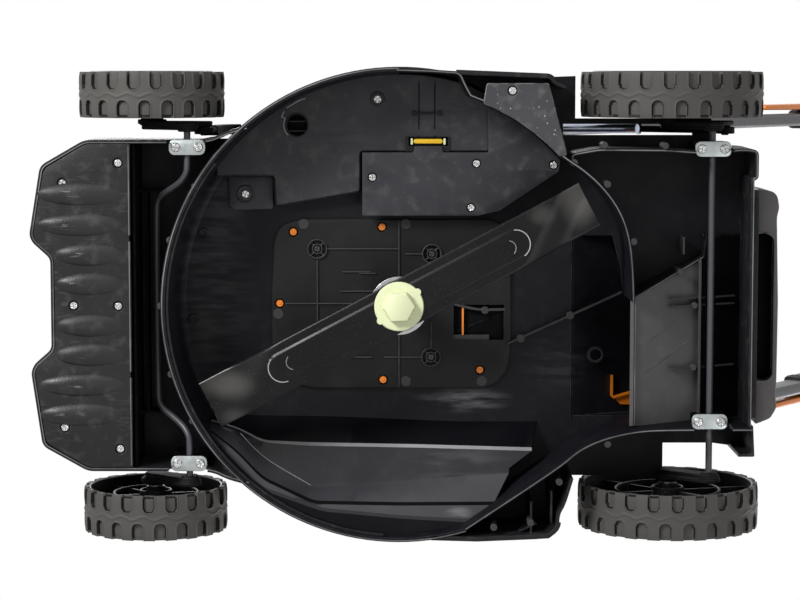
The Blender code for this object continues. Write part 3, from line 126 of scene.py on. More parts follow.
def rounded(x0: float, x1: float, y0: float, y1: float, radius: float, step: float = 15.0) -> list[Point]:
    """A closed rectangle with round corners.

    Args:
        x0: Lowest x.
        x1: Highest x.
        y0: Lowest y.
        y1: Highest y.
        radius: The corners' radius.
        step: The most degrees between two corner points.

    Returns:
        The outline, anticlockwise.
    """
    corners = ((x1 - radius, y1 - radius, 0), (x0 + radius, y1 - radius, 90),
               (x0 + radius, y0 + radius, 180), (x1 - radius, y0 + radius, 270))
    points = []
    for x, y, turn in corners:
        points += arc(radius, turn, turn + 90, (x, y), step)
    return points


def eased(points: Sequence[Point], radius: float, closed: bool = True, steps: int = 4) -> list[Point]:
    """An outline with its corners rounded off.

    Args:
        points: The corners.
        radius: How far from each corner the curve starts, at most.
        closed: Whether the last point joins the first.
        steps: Points along each rounded corner.

    Returns:
        The smoother outline.
    """
    count = len(points)
    out: list[Point] = []
    for i, corner in enumerate(points):
        if not closed and i in (0, count - 1):
            out.append(tuple(corner))
            continue
        here = Vector(corner)
        before, after = Vector(points[i - 1]), Vector(points[(i + 1) % count])
        reach = min(radius, (before - here).length * 0.48, (after - here).length * 0.48)
        first = here + (before - here).normalized() * reach
        last = here + (after - here).normalized() * reach
        for k in range(steps + 1):
            t = k / steps
            out.append(tuple(first * (1 - t) ** 2 + here * 2 * t * (1 - t) + last * t ** 2))
    return out


def curved(points: Sequence[Sequence[float]], rounds: int = 3, closed: bool = False) -> list[tuple[float, ...]]:
    """A line with its corners cut again and again, until it looks like a curve.

    Args:
        points: The line's corners, in plan or in space.
        rounds: How many times the corners are cut.
        closed: Whether the last point joins the first.

    Returns:
        The curve's points.
    """
    line = [Vector(point) for point in points]
    for _ in range(rounds):
        pairs = list(zip(line, line[1:] + line[:1])) if closed else list(zip(line, line[1:]))
        cut = [spot for a, b in pairs for spot in (a.lerp(b, 0.25), a.lerp(b, 0.75))]
        line = cut if closed else [line[0], *cut[1:-1], line[-1]]
    return [tuple(point) for point in line]


def ribbon(path: Sequence[Point], thickness: float) -> list[Point]:
    """The closed outline of a wall that follows an open path.

    Args:
        path: The wall's middle line.
        thickness: The wall's thickness.

    Returns:
        The outline, up one side and down the other.
    """
    sides = offsets(path, (thickness / 2, -thickness / 2))
    return sides[0] + sides[1][::-1]


def offsets(path: Sequence[Point], shifts: Iterable[float], closed: bool = False) -> list[list[Point]]:
    """Copies of a plan path, each shifted sideways.

    Args:
        path: The middle line.
        shifts: How far each copy lies to the left of the path.
        closed: Whether the path is a loop.

    Returns:
        One path for each shift.
    """
    count = len(path)
    normals = []
    for i, point in enumerate(path):
        here = Vector(point)
        before = here - Vector(path[i - 1]) if closed or i > 0 else Vector(path[1]) - here
        after = Vector(path[(i + 1) % count]) - here if closed or i < count - 1 else before
        first, second = before.normalized(), after.normalized()
        mean = (first + second).normalized()
        normals.append(Vector((-mean.y, mean.x)) / max(mean.dot(first), 0.5))
    return [[tuple(Vector(point) + normal * shift) for point, normal in zip(path, normals)] for shift in shifts]


def hull(discs: Sequence[tuple[float, float, float]], sides: int = 32) -> list[Point]:
    """The convex outline round several discs.

    Args:
        discs: Each disc's middle and radius, as (u, v, radius).
        sides: How many points stand for each disc.

    Returns:
        The outline.
    """
    points = sorted({point for u, v, r in discs for point in circle(r, (u, v), sides)})

    def half(run: Iterable[Point]) -> list[Point]:
        """One side of the hull."""
        chain: list[Point] = []
        for p in run:
            while len(chain) > 1 and cross(chain[-2], chain[-1], p) <= 1e-9:
                chain.pop()
            chain.append(p)
        return chain[:-1]

    return half(points) + half(reversed(points))


def cross(a: Point, b: Point, c: Point) -> float:
    """Twice the signed area of a triangle."""
    return (b[0] - a[0]) * (c[1] - a[1]) - (b[1] - a[1]) * (c[0] - a[0])


def follow(line: Sequence[Point], at: float) -> float:
    """Read a line of (at, value) points, straight between them and level past its ends.

    Args:
        line: The points, in rising order of their first number.
        at: Where the value is wanted.

    Returns:
        The value there.
    """
    if at <= line[0][0]:
        return line[0][1]
    for (a, start), (b, end) in zip(line, line[1:]):
        if at <= b:
            return start + (end - start) * (at - a) / (b - a)
    return line[-1][1]


class Shape:
    """A mesh that is drawn in millimetres from the blade axis and the ground."""

    def __init__(self) -> None:
        """Start with nothing drawn."""
        self.mesh = bmesh.new()

    def loft(self, rings: Sequence[Sequence[Place]], capped: bool = True, around: bool = True) -> "Shape":
        """Skin through rings of points, each with the same count.

        Args:
            rings: The rings in order.
            capped: Whether the first and last ring are closed with a face.
            around: Whether each ring closes on itself; if not, the skin is an open sheet.

        Returns:
            This shape.
        """
        layers = [[self.mesh.verts.new(point) for point in ring] for ring in rings]
        count = len(rings[0])
        for low, high in zip(layers, layers[1:]):
            for i in range(count if around else count - 1):
                j = (i + 1) % count
                self.mesh.faces.new((low[i], low[j], high[j], high[i]))
        if capped and around:
            self.mesh.faces.new(layers[0][::-1])
            self.mesh.faces.new(layers[-1])
        return self

    def stack(self, levels: Iterable[tuple[Sequence[Point], float]], capped: bool = True) -> "Shape":
        """Skin through plan outlines, each at its own height.

        Args:
            levels: Pairs of an outline and its height, in order.
            capped: Whether the first and last outline are closed with a face.

        Returns:
            This shape.
        """
        return self.loft([[(x, y, z) for x, y in ring] for ring, z in levels], capped)

    def prism(self, outline: Sequence[Point], low: Level, high: Level) -> "Shape":
        """An upright solid on a plan outline.

        Args:
            outline: The plan outline.
            low: Its lower height, or a rule for it at (x, y).
            high: Its upper height, or a rule for it at (x, y).

        Returns:
            This shape.
        """
        def at(level: Level, x: float, y: float) -> float:
            """The level's height at a point."""
            return level(x, y) if callable(level) else level

        return self.loft([[(x, y, at(level, x, y)) for x, y in outline] for level in (low, high)])

    def plate(self, outline: Sequence[Point], low: float, high: float, bevel: float = 0.6) -> "Shape":
        """A flat plate with a small round on its lower and upper edges.

        Args:
            outline: The plan outline, anticlockwise.
            low: Height of the underside.
            high: Height of the top.
            bevel: Size of the edge's round.

        Returns:
            This shape.
        """
        inner, middle = offsets(outline, (bevel, bevel * 0.3), closed=True)
        return self.stack([(inner, low), (middle, low + bevel * 0.3), (outline, low + bevel),
                           (outline, high - bevel), (middle, high - bevel * 0.3), (inner, high)])

    def wall(self, path: Sequence[Point], low: Level, high: Level, thickness: float = 3.0) -> "Shape":
        """An upright wall along a plan path."""
        return self.prism(ribbon(path, thickness), low, high)

    def strip(self, path: Sequence[Point], section: Sequence[Point], closed: bool = False) -> "Shape":
        """Run a closed section along a plan path.

        Args:
            path: The path in plan.
            section: The section's corners as (distance to the left of the path, height).
            closed: Whether the path is a loop.

        Returns:
            This shape.
        """
        lines = offsets(path, [shift for shift, _ in section], closed)
        rings = [[(*line[i], z) for line, (_, z) in zip(lines, section)] for i in range(len(path))]
        return self.loft(rings + rings[:1] if closed else rings, capped=not closed)

    def box(self, x0: float, x1: float, y0: float, y1: float, z0: float, z1: float) -> "Shape":
        """A plain block, for ribs and cutters."""
        return self.prism([(x0, y0), (x1, y0), (x1, y1), (x0, y1)], z0, z1)

    def slab(self, outline: Sequence[Point], x0: float, x1: float, bevel: float = 0.0) -> "Shape":
        """A plate square to X, from an outline in (y, z), with its edges eased.

        Args:
            outline: The outline in (y, z).
            x0: One face.
            x1: The other face.
            bevel: Size of the edge's round.

        Returns:
            This shape.
        """
        x0, x1 = sorted((x0, x1))
        if not bevel:
            return self.loft([[(x, y, z) for y, z in outline] for x in (x0, x1)])
        inner = offsets(outline, (bevel,), closed=True)[0]
        rings = [(inner, x0), (outline, x0 + bevel), (outline, x1 - bevel), (inner, x1)]
        return self.loft([[(x, y, z) for y, z in ring] for ring, x in rings])

    def turned(self, profile: Sequence[Point], centre: Place = (0.0, 0.0, 0.0), axis: Axis = Axis.Z,
               sides: int = 32) -> "Shape":
        """A body of revolution; a closed ring if no point of its profile is on the axis.

        Args:
            profile: Points as (radius, height along the axis).
            centre: Where the axis' zero lies.
            axis: The axis it is turned about.
            sides: Facets round it.

        Returns:
            This shape.
        """
        turn = axis.turn()
        rings = []
        for radius, height in profile:
            count = 1 if radius < 1e-6 else sides
            ring = [turn @ Vector((radius * math.cos(a), radius * math.sin(a), height)) for a in turns(sides)[:count]]
            rings.append([self.mesh.verts.new(point + Vector(centre)) for point in ring])
        is_ring = all(len(ring) > 1 for ring in rings)
        following = rings[1:] + rings[:1] if is_ring else rings[1:]
        for low, high in zip(rings, following):
            for i in range(sides):
                corners = [low[i % len(low)], low[(i + 1) % len(low)],
                           high[(i + 1) % len(high)], high[i % len(high)]]
                self.mesh.faces.new(list(dict.fromkeys(corners)))
        return self

    def pin(self, radius: float, low: float, high: float, centre: Place = (0.0, 0.0, 0.0),
            axis: Axis = Axis.Z, ease: float = 0.4, sides: int = 24) -> "Shape":
        """A round pin with eased ends.

        Args:
            radius: The pin's radius.
            low: Where it starts along its axis.
            high: Where it ends.
            centre: A point on its axis, with zero along the axis itself.
            axis: The axis it lies on.
            ease: Size of the round at each end.
            sides: Facets round it.

        Returns:
            This shape.
        """
        low, high = sorted((low, high))
        profile = [(0, low), (radius - ease, low), (radius, low + ease),
                   (radius, high - ease), (radius - ease, high), (0, high)]
        return self.turned(profile, centre, axis, sides)

    def tube(self, path: Sequence[Place], radius: float, sides: int = 16) -> "Shape":
        """A round rod along a path in space, with flat ends.

        Args:
            path: The rod's middle line.
            radius: The rod's radius.
            sides: Facets round it.

        Returns:
            This shape.
        """
        return self.run(path, circle(radius, sides=sides))

    def run(self, path: Sequence[Place], section: Sequence[Point], across: Place = (1.0, 0.0, 0.0)) -> "Shape":
        """Run a closed section along a path in space without twisting it.

        Args:
            path: The middle line.
            section: The section as (along the first side direction, along the second).
            across: The first side direction at the start of the path, or near it.

        Returns:
            This shape.
        """
        points = [Vector(point) for point in path]
        side = Vector(across)
        rings = []
        for i, point in enumerate(points):
            before = (point - points[i - 1] if i else points[1] - point).normalized()
            after = (points[i + 1] - point if i < len(points) - 1 else point - points[-2]).normalized()
            mean = (before + after).normalized()
            side = side - mean * side.dot(mean)
            if side.length < 1e-6:
                side = mean.orthogonal()
            side.normalize()
            other = mean.cross(side)
            stretch = 1 / max(mean.dot(before), 0.5)
            bend = after - before
            bend = bend - mean * bend.dot(mean)
            ring = []
            for u, v in section:
                reach = side * u + other * v
                if bend.length > 1e-6:
                    way = bend.normalized()
                    reach += way * reach.dot(way) * (stretch - 1)
                ring.append(tuple(point + reach))
            rings.append(ring)
        return self.loft(rings)

    def dome(self, centre: Point, half: Point, base: float, tip: float, power: float = 0.75,
             lean: float = 0.0, rings: int = 12, sides: int = 48) -> "Shape":
        """A shallow oval swelling under a plate.

        Args:
            centre: Its middle in plan.
            half: Half its width and half its length.
            base: Height of its edge.
            tip: Height of its middle.
            power: How blunt its profile is.
            lean: How far its tip lies towards -Y, in millimetres.
            rings: Rings from the edge to the middle.
            sides: Points round each ring.

        Returns:
            This shape.
        """
        def oval(share: float, y: float, z: float) -> list[Place]:
            """A ring of the swelling, at a share of its full size."""
            return [(centre[0] + half[0] * share * math.cos(a), y + half[1] * share * math.sin(a), z)
                    for a in turns(sides)]

        layers = []
        for k in range(rings):
            share = math.cos(math.pi / 2 * k / rings)
            z = base + (tip - base) * (1 - share ** 2) ** power
            layers.append(oval(share, centre[1] - lean * (1 - share), z))
        lift = 0.8 if base > tip else -0.8
        foot = [(x, y, z + lift) for x, y, z in layers[0]]
        return self.loft([foot, *layers, oval(0.02, centre[1] - lean, tip)])

    def screw(self, x: float, y: float, under: float, radius: float = 3.9, turn: float = 20.0) -> "Shape":
        """The pan head of a screw under a plate, with a cross pressed into it.

        Args:
            x: Its place.
            y: Its place.
            under: Height of the plate's underside.
            radius: The head's radius.
            turn: How far its cross is turned, in degrees.

        Returns:
            This shape.
        """
        face, cross_deep, cross_share = -1.9, 1.1, 0.60
        layers = []
        for share, height in ((1.0, 0.3), (1.0, -0.9), (0.93, -1.5), (0.80, face), (0.50, face), (0.18, face)):
            layer = []
            for a in turns(32):
                in_cross = share < cross_share and abs(math.cos(2 * (a - math.radians(turn)))) > 0.80
                z = under + height + (cross_deep if in_cross else 0.0)
                layer.append((x + radius * share * math.cos(a), y + radius * share * math.sin(a), z))
            layers.append(layer)
        layers.append([(x + 0.05 * math.cos(a), y + 0.05 * math.sin(a), under + face + 1.2) for a in turns(32)])
        return self.loft(layers)

    def add(self, other: "Shape") -> "Shape":
        """Draw another shape's mesh into this one.

        Args:
            other: The shape to take; it is used up.

        Returns:
            This shape.
        """
        spare = bpy.data.meshes.new("spare")
        other.mesh.to_mesh(spare)
        other.mesh.free()
        self.mesh.from_mesh(spare)
        bpy.data.meshes.remove(spare)
        return self

    def object(self, name: str) -> bpy.types.Object:
        """The shape as an object in metres, its faces pointing out; the drawing is used up.

        Args:
            name: The object's name.

        Returns:
            The object.
        """
        bmesh.ops.recalc_face_normals(self.mesh, faces=self.mesh.faces)
        self.mesh.transform(Matrix.Translation((0.0, BLADE_AXIS_Y, 0.0)) @ Matrix.Scale(MM, 4))
        data = bpy.data.meshes.new(name)
        self.mesh.to_mesh(data)
        self.mesh.free()
        obj = bpy.data.objects.new(name, data)
        bpy.context.scene.collection.objects.link(obj)
        return obj


def carve(body: bpy.types.Object, joined: Sequence[Shape] = (), cuts: Sequence[Shape] = ()) -> None:
    """Join shapes to an object, then cut shapes out of it, for good.

    Args:
        body: The object to work on.
        joined: Shapes to join to it.
        cuts: Shapes to cut from it.
    """
    for operation, shapes in (("UNION", joined), ("DIFFERENCE", cuts)):
        if not shapes:
            continue
        group = bpy.data.collections.new("operands")
        operands = [shape.object("operand") for shape in shapes]
        for operand in operands:
            group.objects.link(operand)
        modifier = body.modifiers.new("carve", "BOOLEAN")
        modifier.operation = operation
        modifier.solver = "EXACT"
        modifier.operand_type = "COLLECTION"
        modifier.collection = group
        done = body.evaluated_get(bpy.context.evaluated_depsgraph_get())
        data = bpy.data.meshes.new_from_object(done)
        body.modifiers.clear()
        body.data = data
        for operand in operands:
            bpy.data.objects.remove(operand, do_unlink=True)
        bpy.data.collections.remove(group)


# What gathers on the finishes, and the tones of painted light and painted sheen patches
DUST: Colour = (0.23, 0.22, 0.20)
SCUFF: Colour = (0.46, 0.45, 0.44)
CRUMB: Colour = (0.46, 0.42, 0.35)
LIT_PATCH_TONE: Colour = (0.16, 0.16, 0.17)
PAINT_SHEEN_TONE: Colour = (0.17, 0.165, 0.158)
ACROSS_X: Place = (6.0, 1.0, 1.0)


# Finishes
class Web:
    """The nodes of one material, with short ways to add and join them."""

    def __init__(self, name: str) -> None:
        """Start a material that holds one Principled shader."""
        self.material = bpy.data.materials.new(name)
        self.material.use_nodes = True
        self.tree = self.material.node_tree
        self.shader = self.tree.nodes["Principled BSDF"]
        self.place = self.tree.nodes.new("ShaderNodeTexCoord").outputs["Object"]

    def node(self, kind: str, **settings: object) -> bpy.types.Node:
        """Add a node and set its properties."""
        made = self.tree.nodes.new(kind)
        for key, value in settings.items():
            setattr(made, key, value)
        return made

    def feed(self, socket: Sock, value: Sock | float | Colour) -> None:
        """Give an input a number, a colour or another node's output."""
        if isinstance(value, bpy.types.NodeSocket):
            self.tree.links.new(value, socket)
        elif isinstance(value, tuple) and socket.type == "RGBA":
            socket.default_value = (*value, 1.0)
        else:
            socket.default_value = value

    def spots(self, scale: float, detail: float = 4.0, stretch: Place = (1.0, 1.0, 1.0), shift: float = 0.0) -> Sock:
        """Soft noise over the object.

        Args:
            scale: Waves per metre.
            detail: How many finer layers it has.
            stretch: How much denser it is along each axis.
            shift: Moves the pattern, so that two differ.

        Returns:
            The noise from 0 to 1.
        """
        mapping = self.node("ShaderNodeMapping")
        self.feed(mapping.inputs["Vector"], self.place)
        mapping.inputs["Scale"].default_value = stretch
        mapping.inputs["Location"].default_value = (shift, shift * 0.7, shift * 1.3)
        noise = self.node("ShaderNodeTexNoise")
        self.feed(noise.inputs["Vector"], mapping.outputs["Vector"])
        noise.inputs["Scale"].default_value = scale
        noise.inputs["Detail"].default_value = detail
        return noise.outputs["Fac"]

    def cells(self, scale: float) -> Sock:
        """Distance to the nearest of many scattered points, at so many per metre."""
        pattern = self.node("ShaderNodeTexVoronoi")
        self.feed(pattern.inputs["Vector"], self.place)
        pattern.inputs["Scale"].default_value = scale
        return pattern.outputs["Distance"]

    def fit(self, value: Sock, low: float, high: float, to_low: float = 0.0, to_high: float = 1.0) -> Sock:
        """Map a range of a value on to another range, held at its ends."""
        node = self.node("ShaderNodeMapRange", interpolation_type="SMOOTHSTEP")
        self.feed(node.inputs["Value"], value)
        for name, number in (("From Min", low), ("From Max", high), ("To Min", to_low), ("To Max", to_high)):
            node.inputs[name].default_value = number
        return node.outputs["Result"]

    def work(self, operation: str, first: Sock | float, second: Sock | float) -> Sock:
        """The result of a sum on two values, held between 0 and 1."""
        node = self.node("ShaderNodeMath", operation=operation, use_clamp=True)
        self.feed(node.inputs[0], first)
        self.feed(node.inputs[1], second)
        return node.outputs["Value"]

    def blend(self, share: Sock | float, first: Sock | Colour, second: Sock | Colour) -> Sock:
        """Mix two colours."""
        node = self.node("ShaderNodeMix", data_type="RGBA")
        self.feed(node.inputs[0], share)
        self.feed(node.inputs[6], first)
        self.feed(node.inputs[7], second)
        return node.outputs[2]

    def tint(self, tone: Sock | Colour, mask: Sock, share: float, colour: Colour | Sock) -> Sock:
        """Lay a colour over a tone.

        Args:
            tone: What is there so far.
            mask: Where the colour lies.
            share: How much of it covers the tone where the mask is 1.
            colour: The colour.

        Returns:
            The new tone.
        """
        return self.blend(self.work("MULTIPLY", mask, share), tone, colour)

    def edges(self, radius: float) -> tuple[Sock, Sock]:
        """Softened corners.

        Args:
            radius: How far the softening reaches, in millimetres.

        Returns:
            The softened normal, and a mask that is high along the corners.
        """
        bevel = self.node("ShaderNodeBevel", samples=4)
        bevel.inputs["Radius"].default_value = radius * MM
        shape = self.node("ShaderNodeNewGeometry")
        dot = self.node("ShaderNodeVectorMath", operation="DOT_PRODUCT")
        self.feed(dot.inputs[0], bevel.outputs["Normal"])
        self.feed(dot.inputs[1], shape.outputs["Normal"])
        return bevel.outputs["Normal"], self.fit(dot.outputs["Value"], 0.99, 0.72)

    def patch(self, x: float, y: float, half_x: float, half_y: float) -> Sock:
        """A soft oval patch in plan.

        Args:
            x: Its middle, in millimetres from the blade axis.
            y: Its middle.
            half_x: Half its size along X.
            half_y: Half its size along Y.

        Returns:
            A mask that is 1 in the middle and 0 outside.
        """
        mapping = self.node("ShaderNodeMapping")
        self.feed(mapping.inputs["Vector"], self.place)
        mapping.inputs["Scale"].default_value = (1 / (half_x * MM), 1 / (half_y * MM), 0.0)
        middle_y = y + BLADE_AXIS_Y / MM
        mapping.inputs["Location"].default_value = (-x / half_x, -middle_y / half_y, 0.0)
        length = self.node("ShaderNodeVectorMath", operation="LENGTH")
        self.feed(length.inputs[0], mapping.outputs["Vector"])
        return self.fit(length.outputs["Value"], 1.0, 0.15)

    def below(self, height: float, reach: float = 1.5) -> Sock:
        """A mask that rises to 1 over a few millimetres under a height."""
        split = self.node("ShaderNodeSeparateXYZ")
        self.feed(split.inputs[0], self.place)
        return self.fit(split.outputs["Z"], height * MM, (height - reach) * MM)

    def relief(self, height: Sock, depth: float, normal: Sock | None = None) -> Sock:
        """Raise and sink the surface by a value.

        Args:
            height: The value, from 0 to 1.
            depth: How high 1 stands, in millimetres.
            normal: The surface to start from.

        Returns:
            The new normal.
        """
        bump = self.node("ShaderNodeBump")
        bump.inputs["Strength"].default_value = 1.0
        bump.inputs["Distance"].default_value = depth * MM
        self.feed(bump.inputs["Height"], height)
        if normal is not None:
            self.feed(bump.inputs["Normal"], normal)
        return bump.outputs["Normal"]


@dataclass(frozen=True)
class Finish:
    """What every finish has: a name, a colour and the frame's slot it stands for."""

    name: str
    slot: str
    colour: Colour
    roughness: float = 0.45

    def material(self) -> bpy.types.Material:
        """The finish as a material, made once."""
        return bpy.data.materials.get(self.name) or self.build(Web(self.name))

    def build(self, web: Web) -> bpy.types.Material:
        """Fill in the material's nodes."""
        raise NotImplementedError


@dataclass(frozen=True)
class Plastic(Finish):
    """Moulded plastic with a fine grain, flow marks and dust; its edges are lightened partly where rubbed and partly as
    a painted highlight, and lighter patches on it are painted light.
    """

    pale: Colour = (0.050, 0.050, 0.053)
    grain: float = 0.05
    grain_scale: float = 900.0
    mottle: float = 0.35
    dust: float = 0.0
    scuffs: float = 0.0
    flecks: float = 0.0
    edge: float = 0.5
    rounding: float = 0.7
    specular: float = 0.35
    rubbed_and_lit_edge: Colour = (0.20, 0.20, 0.21)
    scuffed_below: float = 0.0
    lit_patches: tuple[LitPatch, ...] = ()

    def build(self, web: Web) -> bpy.types.Material:
        """Fill in the material's nodes.

        Args:
            web: The nodes of the new material.

        Returns:
            The material.
        """
        shader = web.shader.inputs
        normal, rim = web.edges(self.rounding)
        flow = web.fit(web.spots(9.0, 6.0), 0.40, 0.68)
        cloud = web.fit(web.spots(38.0, 5.0, shift=3.0), 0.45, 0.75)
        tone = web.tint(self.colour, flow, self.mottle, self.pale)
        tone = web.tint(tone, cloud, self.mottle * 0.6, self.pale)
        # Edges lightened partly where rubbed and partly as a painted highlight.
        edge_rub_and_highlight = web.work("MULTIPLY", rim, web.fit(web.spots(120.0, 5.0, shift=7.0), 0.35, 0.62))
        tone = web.tint(tone, edge_rub_and_highlight, self.edge, self.rubbed_and_lit_edge)
        rough = web.fit(web.spots(26.0, 6.0, shift=1.0), 0.3, 0.7, self.roughness - 0.07, self.roughness + 0.09)
        if self.dust:
            dust_and_light_film = web.fit(web.spots(75.0, 9.0, shift=11.0), 0.50, 0.74)
            tone = web.tint(tone, dust_and_light_film, self.dust, DUST)
        if self.scuffs:
            marks = web.fit(web.spots(64.0, 8.0, ACROSS_X, 17.0), 0.54, 0.64)
            where = web.below(self.scuffed_below) if self.scuffed_below else web.spots(14.0, 3.0, shift=5.0)
            where = web.work("MULTIPLY", where, web.fit(web.spots(30.0, 3.0, shift=6.0), 0.44, 0.60))
            marks = web.work("MULTIPLY", marks, where)
            tone = web.tint(tone, marks, self.scuffs, SCUFF)
        if self.flecks:
            crumbs = web.fit(web.cells(210.0), 0.16, 0.10)
            crumbs = web.work("MULTIPLY", crumbs, web.fit(web.spots(45.0, 2.0, shift=9.0), 0.46, 0.60))
            tone = web.tint(tone, crumbs, self.flecks, CRUMB)
        # Lighter streaky patches where light falls: painted light.
        for x, y, half_x, half_y, share in self.lit_patches:
            streaks = web.fit(web.spots(26.0, 9.0, ACROSS_X, 21.0), 0.36, 0.66)
            dust_and_light_film = web.work("MULTIPLY", web.patch(x, y, half_x, half_y), streaks)
            tone = web.tint(tone, dust_and_light_film, share, LIT_PATCH_TONE)
        web.feed(shader["Base Color"], tone)
        web.feed(shader["Roughness"], rough)
        shader["Specular IOR Level"].default_value = self.specular
        grain = web.relief(web.spots(self.grain_scale, 3.0), self.grain, normal)
        web.feed(shader["Normal"], web.relief(web.spots(22.0, 3.0, shift=2.0), 0.5, grain))
        return web.material


@dataclass(frozen=True)
class Metal(Finish):
    """Plated or drawn metal with fine lines, clouded plating, handling marks and an even painted highlight along its
    edges.
    """

    dull: Colour = (0.30, 0.31, 0.33)
    along: Place = (1.0, 1.0, 1.0)
    cloud: float = 0.35
    brushed: float = 0.02
    metallic: float = 1.0
    specular: float = 0.5

    def build(self, web: Web) -> bpy.types.Material:
        """Fill in the material's nodes.

        Args:
            web: The nodes of the new material.

        Returns:
            The material.
        """
        shader = web.shader.inputs
        normal, rim = web.edges(0.4)
        plating = web.fit(web.spots(160.0, 6.0), 0.38, 0.70)
        tone = web.tint(self.colour, plating, self.cloud, self.dull)
        # Every edge is lightened evenly: painted highlight.
        light = tuple(min(1.0, c * 1.5 + 0.03) for c in self.colour)
        web.feed(shader["Base Color"], web.tint(tone, rim, 0.5, light))
        lines = web.spots(700.0, 4.0, self.along, 4.0)
        web.feed(shader["Roughness"], web.fit(lines, 0.3, 0.7, self.roughness - 0.06, self.roughness + 0.10))
        shader["Metallic"].default_value = self.metallic
        shader["Specular IOR Level"].default_value = self.specular
        web.feed(shader["Normal"], web.relief(lines, self.brushed, normal))
        return web.material


@dataclass(frozen=True)
class Paint(Finish):
    """Glossy stoved paint on steel, with a slight peel, scratches, bare metal on its corners and lighter patches of
    painted sheen.
    """

    lit_patches: tuple[LitPatch, ...] = ()
    bare: Colour = (0.34, 0.34, 0.35)
    scratches: float = 0.35
    along: Place = (1.0, 1.0, 1.0)
    edge: float = 0.5

    def build(self, web: Web) -> bpy.types.Material:
        """Fill in the material's nodes.

        Args:
            web: The nodes of the new material.

        Returns:
            The material.
        """
        shader = web.shader.inputs
        normal, rim = web.edges(0.6)
        lines = web.fit(web.spots(90.0, 8.0, self.along, 2.0), 0.62, 0.72)
        lines = web.work("MULTIPLY", lines, self.scratches)
        tone = web.blend(web.fit(web.spots(16.0, 5.0), 0.4, 0.8), self.colour, tuple(c * 2.0 for c in self.colour))
        tone = web.blend(lines, tone, tuple(c * 0.35 for c in self.bare))
        # Lighter patches where light falls on the wings: painted sheen.
        for x, y, half_x, half_y, share in self.lit_patches:
            tone = web.tint(tone, web.patch(x, y, half_x, half_y), share, PAINT_SHEEN_TONE)
        chips = web.work("MULTIPLY", rim, web.fit(web.spots(190.0, 4.0, shift=6.0), 0.50, 0.60))
        web.feed(shader["Base Color"], web.tint(tone, chips, self.edge, self.bare))
        rough = web.fit(web.spots(30.0, 6.0, shift=8.0), 0.3, 0.7, self.roughness - 0.05, self.roughness + 0.12)
        web.feed(shader["Roughness"], rough)
        shader["Coat Weight"].default_value = 0.08
        shader["Coat Roughness"].default_value = 0.18
        shader["Specular IOR Level"].default_value = 0.12
        web.feed(shader["Normal"], web.relief(web.spots(260.0, 2.0), 0.03, normal))
        return web.material


